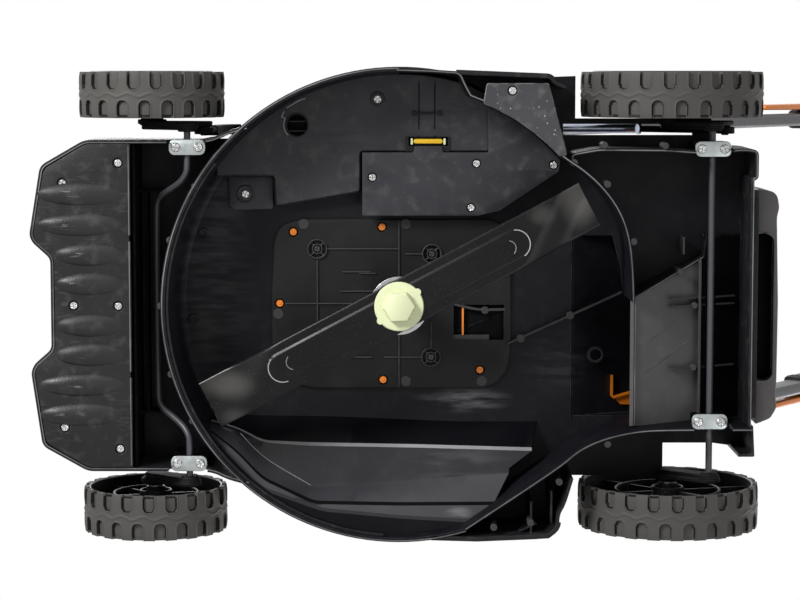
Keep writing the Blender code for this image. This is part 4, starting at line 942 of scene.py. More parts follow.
class Skin:
    """The mower's finishes."""

    HOUSING = Plastic("housing_plastic", "black_plastic", (0.0085, 0.0084, 0.0100), 0.44, pale=(0.020, 0.020, 0.023),
                      dust=0.10, specular=0.16)
    # Lighter patches on the roof where light falls: painted light.
    ROOF = Plastic("chamber_plastic", "black_plastic", (0.0056, 0.0054, 0.0076), 0.42, pale=(0.014, 0.0135, 0.017),
                   mottle=0.4, dust=0.02, specular=0.11,
                   lit_patches=((-98.0, 62.0, 15.0, 56.0, 0.85), (96.0, -160.0, 26.0, 26.0, 0.22),
                          (20.0, -178.0, 130.0, 48.0, 0.22), (-60.0, 150.0, 40.0, 46.0, 0.12)))
    # Near black, laid where there is only shade: painted shade.
    BLACK = Plastic("shadow_plastic", "black_plastic", (0.0022, 0.0022, 0.0026), 0.62, pale=(0.006, 0.006, 0.007),
                    edge=0.25, specular=0.05)
    ARM = Plastic("arm_plastic", "black_plastic", (0.0058, 0.0058, 0.0062), 0.66, pale=(0.015, 0.015, 0.015),
                  grain=0.10, edge=0.35, specular=0.08)
    PANEL = Plastic("panel_plastic", "black_plastic", (0.0078, 0.0078, 0.0085), 0.44, pale=(0.024, 0.024, 0.025),
                    mottle=0.45, edge=0.6, specular=0.13)
    GUARD = Plastic("guard_plastic", "scuffed_plastic", (0.0125, 0.0125, 0.0135), 0.44, pale=(0.024, 0.024, 0.025),
                    grain=0.16, grain_scale=620.0, dust=0.12, scuffs=0.07, edge=0.8, specular=0.20)
    SWELLING = Plastic("swelling_plastic", "scuffed_plastic", (0.0125, 0.0125, 0.0135), 0.40,
                       pale=(0.024, 0.024, 0.025), grain=0.20, grain_scale=620.0, dust=0.10, scuffs=0.75,
                       edge=0.0, specular=0.28, scuffed_below=16.8)
    CORNER = Plastic("corner_plastic", "scuffed_plastic", (0.038, 0.038, 0.043), 0.46, pale=(0.070, 0.070, 0.076),
                     grain=0.12, dust=0.35, flecks=1.0, edge=1.0, specular=0.28, rubbed_and_lit_edge=(0.34, 0.33, 0.32))
    # Lighter patches on the cover where light falls: painted light.
    COVER = Plastic("cover_plastic", "black_plastic", (0.0165, 0.0165, 0.0205), 0.40, pale=(0.040, 0.039, 0.046),
                    mottle=0.55, dust=0.12, flecks=0.10, specular=0.28,
                    lit_patches=((150.0, -60.0, 30.0, 60.0, 0.10), (182.0, 40.0, 14.0, 50.0, 0.16)))
    # The ramp's plastic and its shade, sheen and crest copies below are painted shade and light on the steps; its
    # lighter patches are painted light.
    RAMP = Plastic("ramp_plastic", "black_plastic", (0.0120, 0.0116, 0.0145), 0.25, pale=(0.026, 0.025, 0.030),
                   grain=0.03, mottle=0.35, dust=0.02, specular=0.32,
                   lit_patches=((-150.0, 58.0, 15.0, 62.0, 0.22), (-170.0, 62.0, 12.0, 58.0, 0.34)))
    # A lighter copy of the black plastic where light falls on the duct floor: painted light.
    DUCT = Plastic("duct_floor_lit", "black_plastic", (0.090, 0.086, 0.090), 0.50, pale=(0.128, 0.124, 0.128),
                   grain=0.08, dust=0.10, specular=0.22)
    # Pale rim lines: partly rubbed plastic, partly a painted highlight where light catches the rims.
    EDGE = Plastic("edge_plastic", "black_plastic", (0.085, 0.085, 0.090), 0.40, pale=(0.24, 0.24, 0.245),
                   grain_scale=500.0, mottle=0.9, dust=0.25, specular=0.25)
    # Near white, for painted highlights.
    GLINT = Plastic("glint_plastic", "black_plastic", (0.30, 0.30, 0.31), 0.30, pale=(0.60, 0.60, 0.60),
                    mottle=0.8, specular=0.4)
    RAMP_DARK = Plastic("ramp_shade", "black_plastic", (0.0036, 0.0034, 0.0050), 0.34, pale=(0.009, 0.009, 0.011),
                        grain=0.03, edge=0.2, specular=0.08)
    RAMP_LIT = Plastic("ramp_sheen", "black_plastic", (0.038, 0.037, 0.042), 0.24, pale=(0.070, 0.069, 0.076),
                       grain=0.03, edge=0.3, specular=0.40, lit_patches=((-198.0, 56.0, 10.0, 16.0, 1.0),))
    # Bright, for painted highlights on crests and stamped marks.
    RAMP_CREST_HIGHLIGHT = Plastic("ramp_crest_highlight", "black_plastic", (0.20, 0.20, 0.21), 0.26, pale=(0.34, 0.34, 0.35),
                         grain=0.03, mottle=0.5, edge=0.2, specular=0.5)
    # A lighter copy of the black plastic for ribs and bosses that stand out into the light: painted highlight.
    RIB_LIT = Plastic("rib_lit", "black_plastic", (0.034, 0.033, 0.035), 0.46, pale=(0.060, 0.058, 0.060),
                  edge=0.8, specular=0.22)
    FLAP = Plastic("flap_plastic", "grey_plastic", (0.092, 0.087, 0.085), 0.50, pale=(0.160, 0.152, 0.148), grain=0.08,
                   edge=0.9, rubbed_and_lit_edge=(0.42, 0.41, 0.40))
    TYRE = Plastic("tyre_plastic", "tyre_plastic", (0.040, 0.0392, 0.0392), 0.56, pale=(0.092, 0.0895, 0.088),
                   grain=0.14, grain_scale=700.0, mottle=0.55, dust=0.22, edge=1.0, rounding=0.8, specular=0.24,
                   rubbed_and_lit_edge=(0.24, 0.235, 0.225))
    # A darker copy of the tyre plastic for the recesses' walls: painted shade.
    GROOVE_SHADE = Plastic("groove_shade", "tyre_plastic", (0.0075, 0.0072, 0.0070), 0.60, pale=(0.020, 0.019, 0.018),
                     edge=0.2, specular=0.08)
    HUB = Plastic("hub_plastic", "cap_plastic", (0.0070, 0.0070, 0.0074), 0.48, pale=(0.018, 0.018, 0.018), dust=0.06,
                  edge=0.9, specular=0.12, rubbed_and_lit_edge=(0.30, 0.30, 0.30))
    ORANGE = Plastic("orange_plastic", "orange_plastic", (0.80, 0.165, 0.010), 0.36, pale=(0.90, 0.28, 0.03),
                     grain=0.02, mottle=0.25, edge=0.12, specular=0.4, rubbed_and_lit_edge=(0.95, 0.50, 0.18))
    YELLOW = Plastic("yellow_plastic", "yellow_plastic", (0.66, 0.33, 0.008), 0.30, pale=(0.86, 0.52, 0.04),
                     grain=0.02, mottle=0.3, edge=0.2, specular=0.5, rubbed_and_lit_edge=(0.95, 0.80, 0.40))
    NYLON = Plastic("ivory_nylon", "ivory_nylon", (0.78, 0.77, 0.58), 0.34, pale=(0.86, 0.85, 0.70), grain=0.02,
                    mottle=0.25, edge=0.5, specular=0.45, rubbed_and_lit_edge=(0.96, 0.95, 0.86))
    PACK = Plastic("pack_plastic", "pack_plastic", (0.055, 0.055, 0.060), 0.5, pale=(0.10, 0.10, 0.11))
    BOARD = Plastic("board_coating", "circuit_board", (0.02, 0.14, 0.05), 0.35, pale=(0.05, 0.22, 0.09), grain=0.02)
    FOAM = Plastic("grip_foam", "grip_foam", (0.016, 0.016, 0.016), 0.85, pale=(0.035, 0.035, 0.035), grain=0.35,
                   grain_scale=480.0, dust=0.10, edge=0.2, specular=0.2, rubbed_and_lit_edge=(0.06, 0.06, 0.06))
    ZINC = Metal("zinc_plating", "zinc_plate", (0.40, 0.43, 0.43), 0.34, dull=(0.22, 0.25, 0.25))
    SCREW = Metal("screw_plating", "zinc_plate", (0.62, 0.62, 0.61), 0.30, dull=(0.26, 0.26, 0.26))
    STEEL = Metal("turned_steel", "bright_steel", (0.42, 0.42, 0.43), 0.28, along=(1.0, 1.0, 9.0))
    # Its blue tint stands in for a reflection of bluish light: partly the plating's own colour, partly painted
    # reflection.
    LINK = Metal("link_plating_blue_reflection", "zinc_plate", (0.46, 0.50, 0.60), 0.30, dull=(0.26, 0.29, 0.38), along=(9.0, 1.0, 9.0))
    ROD = Metal("black_rod", "black_rod", (0.006, 0.006, 0.007), 0.26, dull=(0.003, 0.003, 0.004), metallic=0.0,
                specular=0.10)
    TUBE = Metal("tube_coating", "grey_tube", (0.085, 0.085, 0.090), 0.40, dull=(0.055, 0.055, 0.058), metallic=0.6)
    COPPER = Metal("motor_winding", "motor_winding", (0.62, 0.26, 0.12), 0.36, along=(1.0, 1.0, 20.0), brushed=0.1)
    # The blade's lighter patches are painted sheen near its ends.
    BLADE = Paint("blade_paint", "painted_steel", (0.0042, 0.0040, 0.0040), 0.24, scratches=0.25,
                  along=(9.0, 5.0, 1.0), edge=0.8,
                  lit_patches=((99.0, 166.0, 34.0, 24.0, 0.55), (84.0, 132.0, 13.0, 17.0, 0.20),
                         (-74.0, -160.0, 18.0, 34.0, 0.30), (-104.0, -150.0, 12.0, 20.0, 0.14)))


@dataclass
class Assembly:
    """A group of pieces that ride on one body of the frame unless a piece says otherwise."""

    body: str = "deck"

    def make(self, name: str, shape: Shape, finish: Finish, *, body: str = "", stands_for: Sequence[str] = (),
             bevel: float = 0.0, sharp: float = 35.0, joined: Sequence[Shape] = (),
             cuts: Sequence[Shape] = ()) -> bpy.types.Object:
        """Turn a shape into a finished piece.

        Args:
            name: The piece's name.
            shape: What it is drawn from.
            finish: Its finish.
            body: The body it rides on, if not the assembly's own.
            stands_for: Nodes of the frame that it replaces.
            bevel: Width of the rounded corners, or 0 for none.
            sharp: Corners sharper than this many degrees stay crisp.
            joined: Shapes to join to it first.
            cuts: Shapes to cut from it.

        Returns:
            The piece.
        """
        obj = shape.object(name)
        if joined or cuts:
            carve(obj, joined, cuts)
        obj.data.materials.clear()
        obj.data.materials.append(finish.material())
        obj.data.shade_smooth()
        obj.data.set_sharp_from_angle(angle=math.radians(sharp))
        if bevel:
            rounding = obj.modifiers.new("rounding", "BEVEL")
            rounding.width = bevel * MM
            rounding.segments = 3
            rounding.limit_method = "ANGLE"
            rounding.angle_limit = math.radians(sharp)
            rounding.harden_normals = True
        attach(obj, body or self.body)
        if stands_for:
            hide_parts(*stands_for)
        LOG.info("%s: %d faces, %s", name, len(obj.data.polygons), finish.name)
        return obj

    def dress(self, node: str, finish: Finish) -> None:
        """Give a node of the frame that keeps its shape its finish."""
        obj = FRAME["nodes"][node]
        if not obj.material_slots:
            obj.data.materials.append(finish.material())
        for place in obj.material_slots:
            place.material = finish.material()
        LOG.info("%s: kept, %s", node, finish.name)


def rim(low: float, high: float, half: float = 1.5, draft: float = 0.7) -> list[Point]:
    """The section of a moulded wall that hangs from the roof.

    Args:
        low: Height of its rounded rim.
        high: Height of its root.
        half: Half its thickness at the rim.
        draft: How much wider it is on each side at the root.

    Returns:
        The section as (distance to the left of the wall's path, height).
    """
    return [(half, low + 0.8), (half * 0.6, low), (-half * 0.6, low), (-half, low + 0.8),
            (-half - draft, high), (half, high)]


@dataclass
class Deck(Assembly):
    """The lower moulding: cutting chamber, nose, rear box and duct."""

    ring: float = 216.5
    baffle: float = 204.0
    rim_z: float = 20.0
    roof_z: float = 105.0
    top_z: float = 108.0
    nose_z: float = 90.0
    bay_z: float = 90.0
    nose_half: float = 153.0
    duct_left: float = 60.0
    duct_right: float = -113.0
    duct_start: float = 166.0
    mouth_y: float = 217.0
    rear_y: float = 323.5
    box_left: float = 143.5
    rear_rim_z: float = 30.0
    front_rod: Point = (-195.0, 38.0)
    rear_rod: Point = (291.0, 56.0)
    clamps: tuple[Place, ...] = ((146.0, -194.6, 38.0), (-147.5, -195.2, 38.0), (143.8, 291.0, 56.0),
                                 (-111.0, 290.6, 56.0))
    window: tuple[float, float, float, float] = (-40.0, -6.0, 52.0, 100.0)

    def floor(self, _x: float, y: float) -> float:
        """Underside of the sloping duct floor."""
        return 40.0 + (y - self.mouth_y) / (self.rear_y - self.mouth_y) * 56.0

    def floor_top(self, x: float, y: float) -> float:
        """A height inside the duct floor's thickness."""
        return self.floor(x, y) + 1.0

    def ceiling(self, _x: float, y: float) -> float:
        """Underside of the duct's ceiling."""
        return self.roof_z + (y - self.duct_start) / (self.rear_y - self.duct_start) * 73.0

    def ring_lines(self) -> tuple[list[Point], list[Point], list[Point]]:
        """The chamber wall's middle line in three runs: the rear baffle, the round front and the slanting wall."""
        rear = [(4.5, 215.6), (33.6, 214.5), (60.0, 211.8), (84.0, 204.5), (106.0, 190.0), (124.0, 171.0)]
        hook = eased([(193.5, 65.5), (203.0, 60.0), (213.8, 55.5), (215.6, 28.0), (216.5, -2.0)], 5.0, closed=False)
        slant = [(-150.0, 148.0), (-133.5, 166.5), (-123.5, 188.0), (-117.0, 214.0), (-114.5, 240.0),
                 (-114.5, self.rear_y + 3.0)]
        front = arc(self.ring, 0.0, -196.5)
        baffle = [*curved([*rear, *arc(self.baffle, 48.0, 42.0)], 2), *arc(self.baffle, 40.0, 20.0), *hook]
        return baffle, front, curved([front[-1], *slant], 3)

    def edging(self, runs: Sequence[Sequence[Point]], low: float) -> Shape:
        """The thin pale line along the rims of walls: partly rubbed plastic, partly a painted highlight where light
        catches the rims.

        Args:
            runs: The walls' middle lines.
            low: Height of the rims.

        Returns:
            The shape.
        """
        shape = Shape()
        for run in runs:
            shape.strip(run, [(0.45, low - 0.2), (0.45, low + 0.4), (-0.45, low + 0.4), (-0.45, low - 0.2)])
        return shape

    def notches(self) -> list[Shape]:
        """Cutters that let the clamps' straps stand free of the walls."""
        return [Shape().box(x - 8.6, x + 8.6, y - 18.0, y + 18.0, z - 40.0, z - 4.4) for x, y, z in self.clamps]

    def left_line(self) -> list[Point]:
        """The outer wall's middle line behind the ring on the left."""
        return eased([(213.8, 52.0), (213.0, 72.0), (210.3, 138.0), (204.5, 142.0), (200.5, 152.0)], 4.0, closed=False)

    def right_line(self) -> list[Point]:
        """The outer wall's middle line behind the ring on the right, with its sweep before the wheel."""
        return [(-214.8, 30.0), (-216.0, 72.0), (-213.8, 126.0),
                *curved([(-213.0, 138.0), (-206.0, 147.0), (-193.0, 147.5), (-184.0, 153.0), (-160.0, 160.0)], 2)]

    def nose_line(self, inset: float = 0.0) -> list[Point]:
        """Plan outline of the nose with its three scalloped fronts, from left to right."""
        w, f, s = self.nose_half - inset, -339.0 + inset, -288.0 + inset / 2
        corners = [(w, -150.0), (w, s), (w - 23.0, f + 10.5), (66.0, f), (60.0, f + 2.5), (45.0, f + 19.0),
                   (-40.0, f + 19.0), (-54.0, f + 3.0), (-61.0, f), (23.0 - w, f + 9.5), (-w, s), (-w, -150.0)]
        return eased(corners, 5.0, closed=False)

    def build(self) -> None:
        """Build every piece of the moulding."""
        self.build_roof()
        self.build_walls()
        self.build_nose()
        self.build_rear()
        self.build_ramp()
        self.build_bay()
        self.build_bosses()

    def build_roof(self) -> None:
        """The flat roof with its openings for the duct and the motor."""
        left = [(130, 120), (214, 30), (213.4, 72), (210.5, 140), (201, 153), (130, 154)]
        right = [(-130, 60), (-215, 30), (-216.5, 72), (-214.5, 138), (-206, 147), (-184, 152), (-160, 160),
                 (-134, 168), (-124, 186), (-116, 214), (-110, 214)]
        web = [(-113.5, 210), (-120, 190), (-132, 166), (-150, 150), (-171, 150), (-171, 253), (-139.5, 253),
               (-139.5, 300), (-142, 318), (-142, 330), (-113.5, 330)]
        shelf = [(138, 150), (198, 150), (205, 138), (210, 140), (211, 167), (171, 167), (171, 296), (138, 300)]
        rear = [(5, 190), (142, 153.5), (self.box_left, 190), (self.box_left, 330), (-113, 325.5), (-114, 190)]
        disc = Shape().prism(circle(self.ring - 1.0, sides=144), self.roof_z, self.top_z)
        joined = [Shape().prism(outline, self.roof_z, self.top_z) for outline in (left, right, web, rear, shelf)]
        mouth = [(self.duct_right, 166.4), (60, 166.4), (60, 203), (30, 211), (6.5, 213.5), (6.5, 219), (41, 287),
                 (58, 290), (58, 333), (self.duct_right, 333)]
        x0, x1, y0, y1 = self.window
        cuts = [Shape().prism(mouth, self.roof_z - 5, self.top_z + 5),
                Shape().prism(circle(30, sides=48), self.roof_z - 5, self.top_z + 5),
                Shape().box(x0, x1, y0, y1, self.roof_z - 5, self.top_z + 5),
                Shape().box(155.3, 165.7, 155.5, 278.0, self.roof_z - 5, self.top_z + 5)]
        self.make("chamber_roof", disc, Skin.ROOF, joined=joined, cuts=cuts, stands_for=["deck_shell"])

    def build_walls(self) -> None:
        """The chamber wall with its rounded root and outer lip, and the outer walls behind it."""
        roof, rim_z = self.roof_z, self.rim_z
        section = [(1.5, rim_z + 0.9), (0.9, rim_z), (-0.9, rim_z), (-1.5, rim_z + 0.9), (-2.7, 60.0), (-4.2, 90.0),
                   (-6.5, 99.0), (-9.5, 103.2), (-14.0, roof + 0.15), (-14.0, roof + 1.5), (1.5, roof + 1.5)]
        baffle, front, slant = self.ring_lines()
        wall = Shape().strip(front, section)
        for run in (baffle, slant):
            wall.strip(run, rim(rim_z, roof + 1.0))
        self.make("chamber_wall", wall, Skin.ROOF, sharp=50.0, cuts=self.notches())
        line = self.edging((baffle, offsets(front, (1.6,))[0], slant), rim_z)
        self.make("chamber_edge", line, Skin.EDGE, cuts=self.notches())
        lip = [(1.0, rim_z + 0.3), (1.7, rim_z), (2.6, rim_z + 0.2), (3.1, rim_z + 0.9), (3.1, rim_z + 4.6),
               (2.5, rim_z + 5.2), (1.0, rim_z + 5.2)]
        self.make("chamber_lip", Shape().strip(arc(self.ring, 12.0, -192.0), lip), Skin.HOUSING)
        inner = [(-3.6, rim_z + 1.6), (-4.1, rim_z + 1.9), (-4.1, rim_z + 3.2), (-2.0, rim_z + 4.0),
                 (-1.0, rim_z + 2.0)]
        self.make("chamber_bead", Shape().strip(arc(self.ring, -52.0, -176.0), inner), Skin.HOUSING)
        outer = Shape()
        outer.strip(self.left_line(), rim(rim_z, roof + 1.0))
        outer.strip(self.right_line(), rim(rim_z, roof + 1.0)[::-1])
        lip = [(1.0, rim_z + 0.1), (3.1, rim_z + 0.9), (3.1, rim_z + 4.6), (1.0, rim_z + 5.2)]
        outer.strip(self.left_line()[:-5], [(-shift, z) for shift, z in lip])
        outer.strip(self.right_line()[:-9], lip)
        for x0, x1, y in ((-183.0, -214.0, 123.0), (-173.0, -203.0, 141.8)):
            outer.wall([(x0, y), (x1, y)], rim_z + 9.0, roof + 1.0, 1.6)
        outer.wall([(-204.0, 128.0), (-212.0, 112.0)], rim_z + 12.0, roof + 1.0, 1.6)
        self.make("outer_walls", outer, Skin.HOUSING)

    def build_nose(self) -> None:
        """Nose walls round the guard plate, its roof, and the ribs inside it."""
        line = self.nose_line(1.5)[1:-1]
        w = self.nose_half - 1.5
        flare = curved([(w + 13.0, -139.0), (w + 8.0, -158.0), (w + 1.0, -172.0), (w, -190.0)], 2)
        line = [*flare, *line, *((-x, y) for x, y in reversed(flare))]
        nose = Shape().strip(line, rim(self.rim_z + 0.2, self.nose_z + 1.0, draft=0.3)[::-1])
        self.make("nose_wall", nose, Skin.HOUSING, cuts=self.notches())
        self.make("nose_edge", self.edging(offsets(line, (-0.9,)), self.rim_z + 0.2), Skin.EDGE, cuts=self.notches())
        angle = math.degrees(math.asin(self.nose_half / self.ring))
        outline = (self.nose_line()[1:-1] + arc(self.ring - 1.0, -90.0 - angle, angle - 90.0))[::-1]
        roof = Shape().plate(outline, self.nose_z, self.nose_z + 3.0, 0.8)
        self.make("nose_roof", roof, Skin.ROOF)
        ribs = Shape()
        for y, x0, x1, low in ((-243.5, -150.0, 150.0, 26.0), (-236.0, -104.0, 104.0, 66.0)):
            ribs.wall([(x0, y), (x1, y)], low, self.nose_z + 1.0, 2.0)
        for x in (-104.0, 104.0):
            ribs.wall([(x, -243.0), (x, -222.0)], 66.0, self.nose_z + 1.0, 2.0)
        # The ribs inside the nose are near black: painted shade.
        self.make("nose_ribs", ribs, Skin.BLACK)

    def build_rear(self) -> None:
        """Walls of the rear box, the duct with its sloping floor, and the ribs under that."""
        low, high = self.rear_rim_z, self.roof_z + 1.0
        left, right, rear_y = self.box_left, self.duct_right, self.rear_y
        side = [(131.0, 160.0), (139.0, 158.5), (left, 184.0), (left - 0.5, 245.0), (left - 2.5, 273.0),
                (left - 1.0, 300.0), (left, 318.0), (left - 1.5, rear_y + 5.5), (118.0, rear_y + 5.5),
                (116.0, rear_y + 1.5)]
        side = eased(side, 4.0, closed=False)
        walls = Shape().strip(side, rim(low, high)[::-1])
        walls.strip([(118.5, rear_y + 1.5), (right - 1.5, rear_y + 1.5)], rim(low, high)[::-1])
        walls.strip([(-113.0, rear_y + 4.0), (-141.0, rear_y + 5.5)], rim(low + 2.0, high)[::-1])
        walls.strip([(-140.0, rear_y + 6.0), (-140.0, rear_y - 8.0)], rim(low + 2.0, high)[::-1])
        self.make("rear_walls", walls, Skin.HOUSING, cuts=self.notches())
        back = [(118.5, rear_y + 2.6), (right - 1.5, rear_y + 2.6)]
        self.make("rear_edge", self.edging((side, back), low), Skin.EDGE, cuts=self.notches())
        ledge = Shape().plate(rounded(right - 1.0, 104.0, rear_y + 2.0, rear_y + 16.4, 1.5), 88.0, 91.0, 0.8)
        self.make("rear_ledge", ledge, Skin.HOUSING)

        # The front of the duct floor takes a lighter copy of the black plastic where light falls: painted light.
        outline = [(6.0, self.mouth_y), (40.5, 283.5), (right - 1.0, 283.5), (right - 1.0, self.mouth_y)]
        floor = Shape().prism(outline, self.floor, lambda x, y: self.floor(x, y) + 3.0)
        floor.strip([(right - 0.5, self.mouth_y - 0.4), (6.0, self.mouth_y - 0.4)],
                    [(1.9, 39.6), (1.2, 38.8), (-1.2, 38.8), (-1.9, 39.6), (-1.9, 42.6), (1.9, 42.6)])
        self.make("duct_floor", floor, Skin.DUCT)
        # The back of the duct floor, deeper in, is near black: painted shade.
        outline = [(40.5, 283.0), (self.duct_left + 1.0, 290.0), (self.duct_left + 1.0, rear_y + 1.0),
                   (right - 1.0, rear_y + 1.0), (right - 1.0, 283.0)]
        back = Shape().prism(outline, lambda x, y: self.floor(x, y) + 0.3, lambda x, y: self.floor(x, y) + 3.0)
        self.make("duct_floor_back", back, Skin.BLACK)
        # Pale lines on the floor's ribs and edges: partly rubbed plastic, partly a painted highlight.
        lines = Shape()
        for start, end in (((-37.7, 227.5), (-11.5, 269.1)), ((-64.8, 227.8), (-36.7, 273.2))):
            lines.prism(ribbon([start, end], 0.7), lambda x, y: self.floor(x, y) - 0.35, self.floor)
        lines.prism(ribbon([(6.0, self.mouth_y + 1.0), (41.5, 286.0)], 1.0), lambda x, y: self.floor(x, y) - 1.6,
                    lambda x, y: self.floor(x, y) - 0.9)
        lines.prism(ribbon([(right, self.mouth_y + 2.2), (4.0, self.mouth_y + 2.2)], 0.8), 39.0, 40.5)
        self.make("duct_floor_lines", lines, Skin.EDGE)

        duct = Shape()
        plan = [(self.duct_left + 3, self.duct_start - 2), (self.duct_left + 3, rear_y + 3),
                (right - 3, rear_y + 3), (right - 3, self.duct_start - 2)]
        duct.prism(plan, self.ceiling, lambda x, y: self.ceiling(x, y) + 3.0)
        for x in (right - 3.0, self.duct_left):
            plan = [(x, self.duct_start), (x + 3, self.duct_start), (x + 3, rear_y + 3), (x, rear_y + 3)]
            duct.prism(plan, self.roof_z + 1.0, lambda x, y: self.ceiling(x, y) + 1.0)
            ear = hull([(rear_y + 13.0, 184.0, 5.5), (rear_y - 4.0, 168.0, 4.0)])
            duct.slab(ear, x, x + 3.0)
        for step in (((6.0, self.mouth_y), (41.5, 287.0)), ((41.0, 287.0), (self.duct_left + 1.0, 290.0))):
            duct.prism(ribbon(step, 2.2), lambda x, y: self.floor(x, y) - 1.0, self.roof_z + 1.0)
        plan = [(self.duct_left, 286), (self.duct_left + 3, 286), (self.duct_left + 3, rear_y + 3),
                (self.duct_left, rear_y + 3)]
        duct.prism(plan, self.floor, self.top_z)
        self.make("duct", duct, Skin.ROOF)
        slats = Shape()
        for i in range(4):
            x = -88.0 + i * 41.5
            path = [(x, self.duct_start + 26.0), (x, rear_y - 10.0)]
            slats.prism(ribbon(path, 4.0), lambda a, b: self.ceiling(a, b) + 2.0, lambda a, b: self.ceiling(a, b) + 4.2)
        self.make("duct_top_ribs", slats, Skin.HOUSING, bevel=0.8)

        rod_y, rod_z = self.rear_rod
        ribs = Shape()
        top = rod_z + 7.0
        ribs.prism(ribbon([(right, rod_y - 9.0), (self.duct_left - 20.0, rod_y - 9.0)], 2.2), top,
                   lambda x, y: self.floor(x, y) + 1.0)
        for x in (3.9, -3.1, -61.6):
            for y0, y1 in ((253.0, 288.0), (299.0, 318.0)):
                ribs.prism(ribbon([(x, y0), (x, y1)], 1.4), lambda x, y: self.floor(x, y) - 7.0,
                           lambda x, y: self.floor(x, y) + 1.0)
        ribs.wall([(44.0, 268.0), (60.0, 268.0)], rod_z + 20.0, self.roof_z, 1.5)
        ribs.wall([(-114.0, 252.0), (-104.0, 252.0)], 60.0, 80.0, 1.4)
        self.make("rear_ribs", ribs, Skin.RIB_LIT)

    def build_bay(self) -> None:
        """The dropped bay on the left, the screwed pad beside it, and its round hole and slots."""
        corners = [(117.5, -172.0), (117.5, -118.0), (88.8, -116.5), (102.5, -36.6), (140.0, -36.5), (140.0, 85.0),
                   (193.0, 85.0)]
        outline = (eased(corners, 3.0, closed=False) + arc(self.ring - 3.0, 18.0, -54.0))[::-1]
        inner, foot = offsets(outline, (1.2, -2.2), closed=True)
        bay = Shape().stack(((inner, self.bay_z), (outline, self.bay_z + 1.0), (foot, self.roof_z + 0.8)))
        hole = hull([(164.4, -96.0, 9.4), (165.6, -96.0, 9.4)], 40)
        cuts = [Shape().prism(hole, self.bay_z - 3, self.bay_z + 13),
                Shape().box(141.0, 154.9, 17.6, 19.0, self.bay_z - 3, self.bay_z + 3),
                Shape().box(141.0, 154.9, 33.0, 34.4, self.bay_z - 3, self.bay_z + 3)]
        for y in (18.7, 33.6):
            cuts.append(Shape().box(161.0, 206.0, y - 0.7, y + 0.7, self.bay_z - 3, self.bay_z + 4))
        self.make("dropped_bay", bay, Skin.COVER, cuts=cuts)
        trim = Shape()
        for x in (159.5, 168.5):
            trim.box(x - 0.8, x + 0.8, -104.0, -88.0, self.bay_z + 0.6, self.bay_z + 8.0)
        # A near-black sheet inside the round hole: painted shade.
        shade_sheet = Shape().plate(offsets(hole, (-0.4,), closed=True)[0], self.bay_z + 7.0, self.bay_z + 9.0, 0.3)
        shade_sheet.wall([(156.0, -96.0), (174.0, -96.0)], self.bay_z + 4.0, self.bay_z + 8.0, 1.2)
        self.make("hole_shadow", shade_sheet, Skin.BLACK)
        # A pale crescent on one side of the hole's rim: painted highlight.
        crescent = self.edging([[(178.0, -108.0), (173.0, -110.5), *arc(12.6, -62.0, -138.0, (165.0, -96.0), 8.0)],
                                [(181.0, -106.0), (188.0, -94.0), (190.0, -88.0)]], self.bay_z - 0.4)
        self.make("hole_crescent", crescent, Skin.GLINT)
        near, far = offsets(hole, (0.0, -1.6), closed=True)
        high, low = self.bay_z + 0.5, self.bay_z - 0.8
        trim.stack(((near, high), (near, low), (far, low), (far, high)), capped=False)
        trim.box(174.0, 178.0, 12.5, 16.5, self.bay_z - 2.5, self.bay_z + 1.0)
        trim.box(174.0, 178.0, 36.5, 40.5, self.bay_z - 2.5, self.bay_z + 1.0)
        trim.box(175.0, 177.0, 16.0, 37.0, self.bay_z - 2.0, self.bay_z + 1.0)
        for y0, y1 in ((6.0, 14.0), (40.0, 48.0)):
            trim.box(140.0, 154.0, y0, y1, self.bay_z - 1.6, self.bay_z + 1.0)
        self.make("bay_trim", trim, Skin.HOUSING, bevel=0.3)

        outline = eased([(116.2, -162.0), (116.2, -119.1), (85.0, -119.3), (84.0, -157.0), (88.0, -161.0)], 3.0)
        pad = Shape().plate(outline, self.roof_z - 4.0, self.roof_z + 0.5, 0.9)
        pad.turned([(6.5, -0.5), (7.5, -1.4), (8.6, -0.5), (8.6, 1.0), (6.5, 1.0)], (99.5, -145.5, self.roof_z - 4.0))
        self.make("screw_pad", pad, Skin.COVER)
        screws = Shape()
        screws.screw(99.5, -145.5, self.roof_z - 4.0)
        screws.screw(189.3, -20.1, self.bay_z, turn=50.0)
        self.make("bay_screws", screws, Skin.SCREW)
        seat = Shape()
        seat.turned([(5.0, 0.0), (6.2, -0.9), (7.4, 0.0), (7.4, 1.0), (5.0, 1.0)], (189.3, -20.1, self.bay_z))
        self.make("bay_screw_seat", seat, Skin.COVER)

    def build_bosses(self) -> None:
        """Ejector pins' marks along the walls, roof bosses, the diagonal rib and the axle blocks."""
        bosses = Shape()
        spots = ((110.4, -187.0), (61.0, -210.3), (0.4, -219.2), (-62.8, -210.2), (-106.0, -190.8), (148.0, 188.0),
                 (147.6, 243.5), (112.4, 191.0), (59.7, 215.5), (-128.0, 193.0), (-163.5, 148.5), (-201.5, 122.0),
                 (-206.0, 88.0), (132.0, 160.5))
        for x, y in spots:
            bosses.pin(3.2, self.rim_z + 1.0, self.rim_z + 26.0, (x, y, 0.0))
        for x, y in ((-3.1, 277.0), (-61.6, 276.5), (28.8, 262.8)):
            low = min(self.floor(x, y) - 8.0, 78.0)
            bosses.pin(3.2, low, self.roof_z, (x, y, 0.0))
        self.make("wall_bosses", bosses, Skin.RIB_LIT)

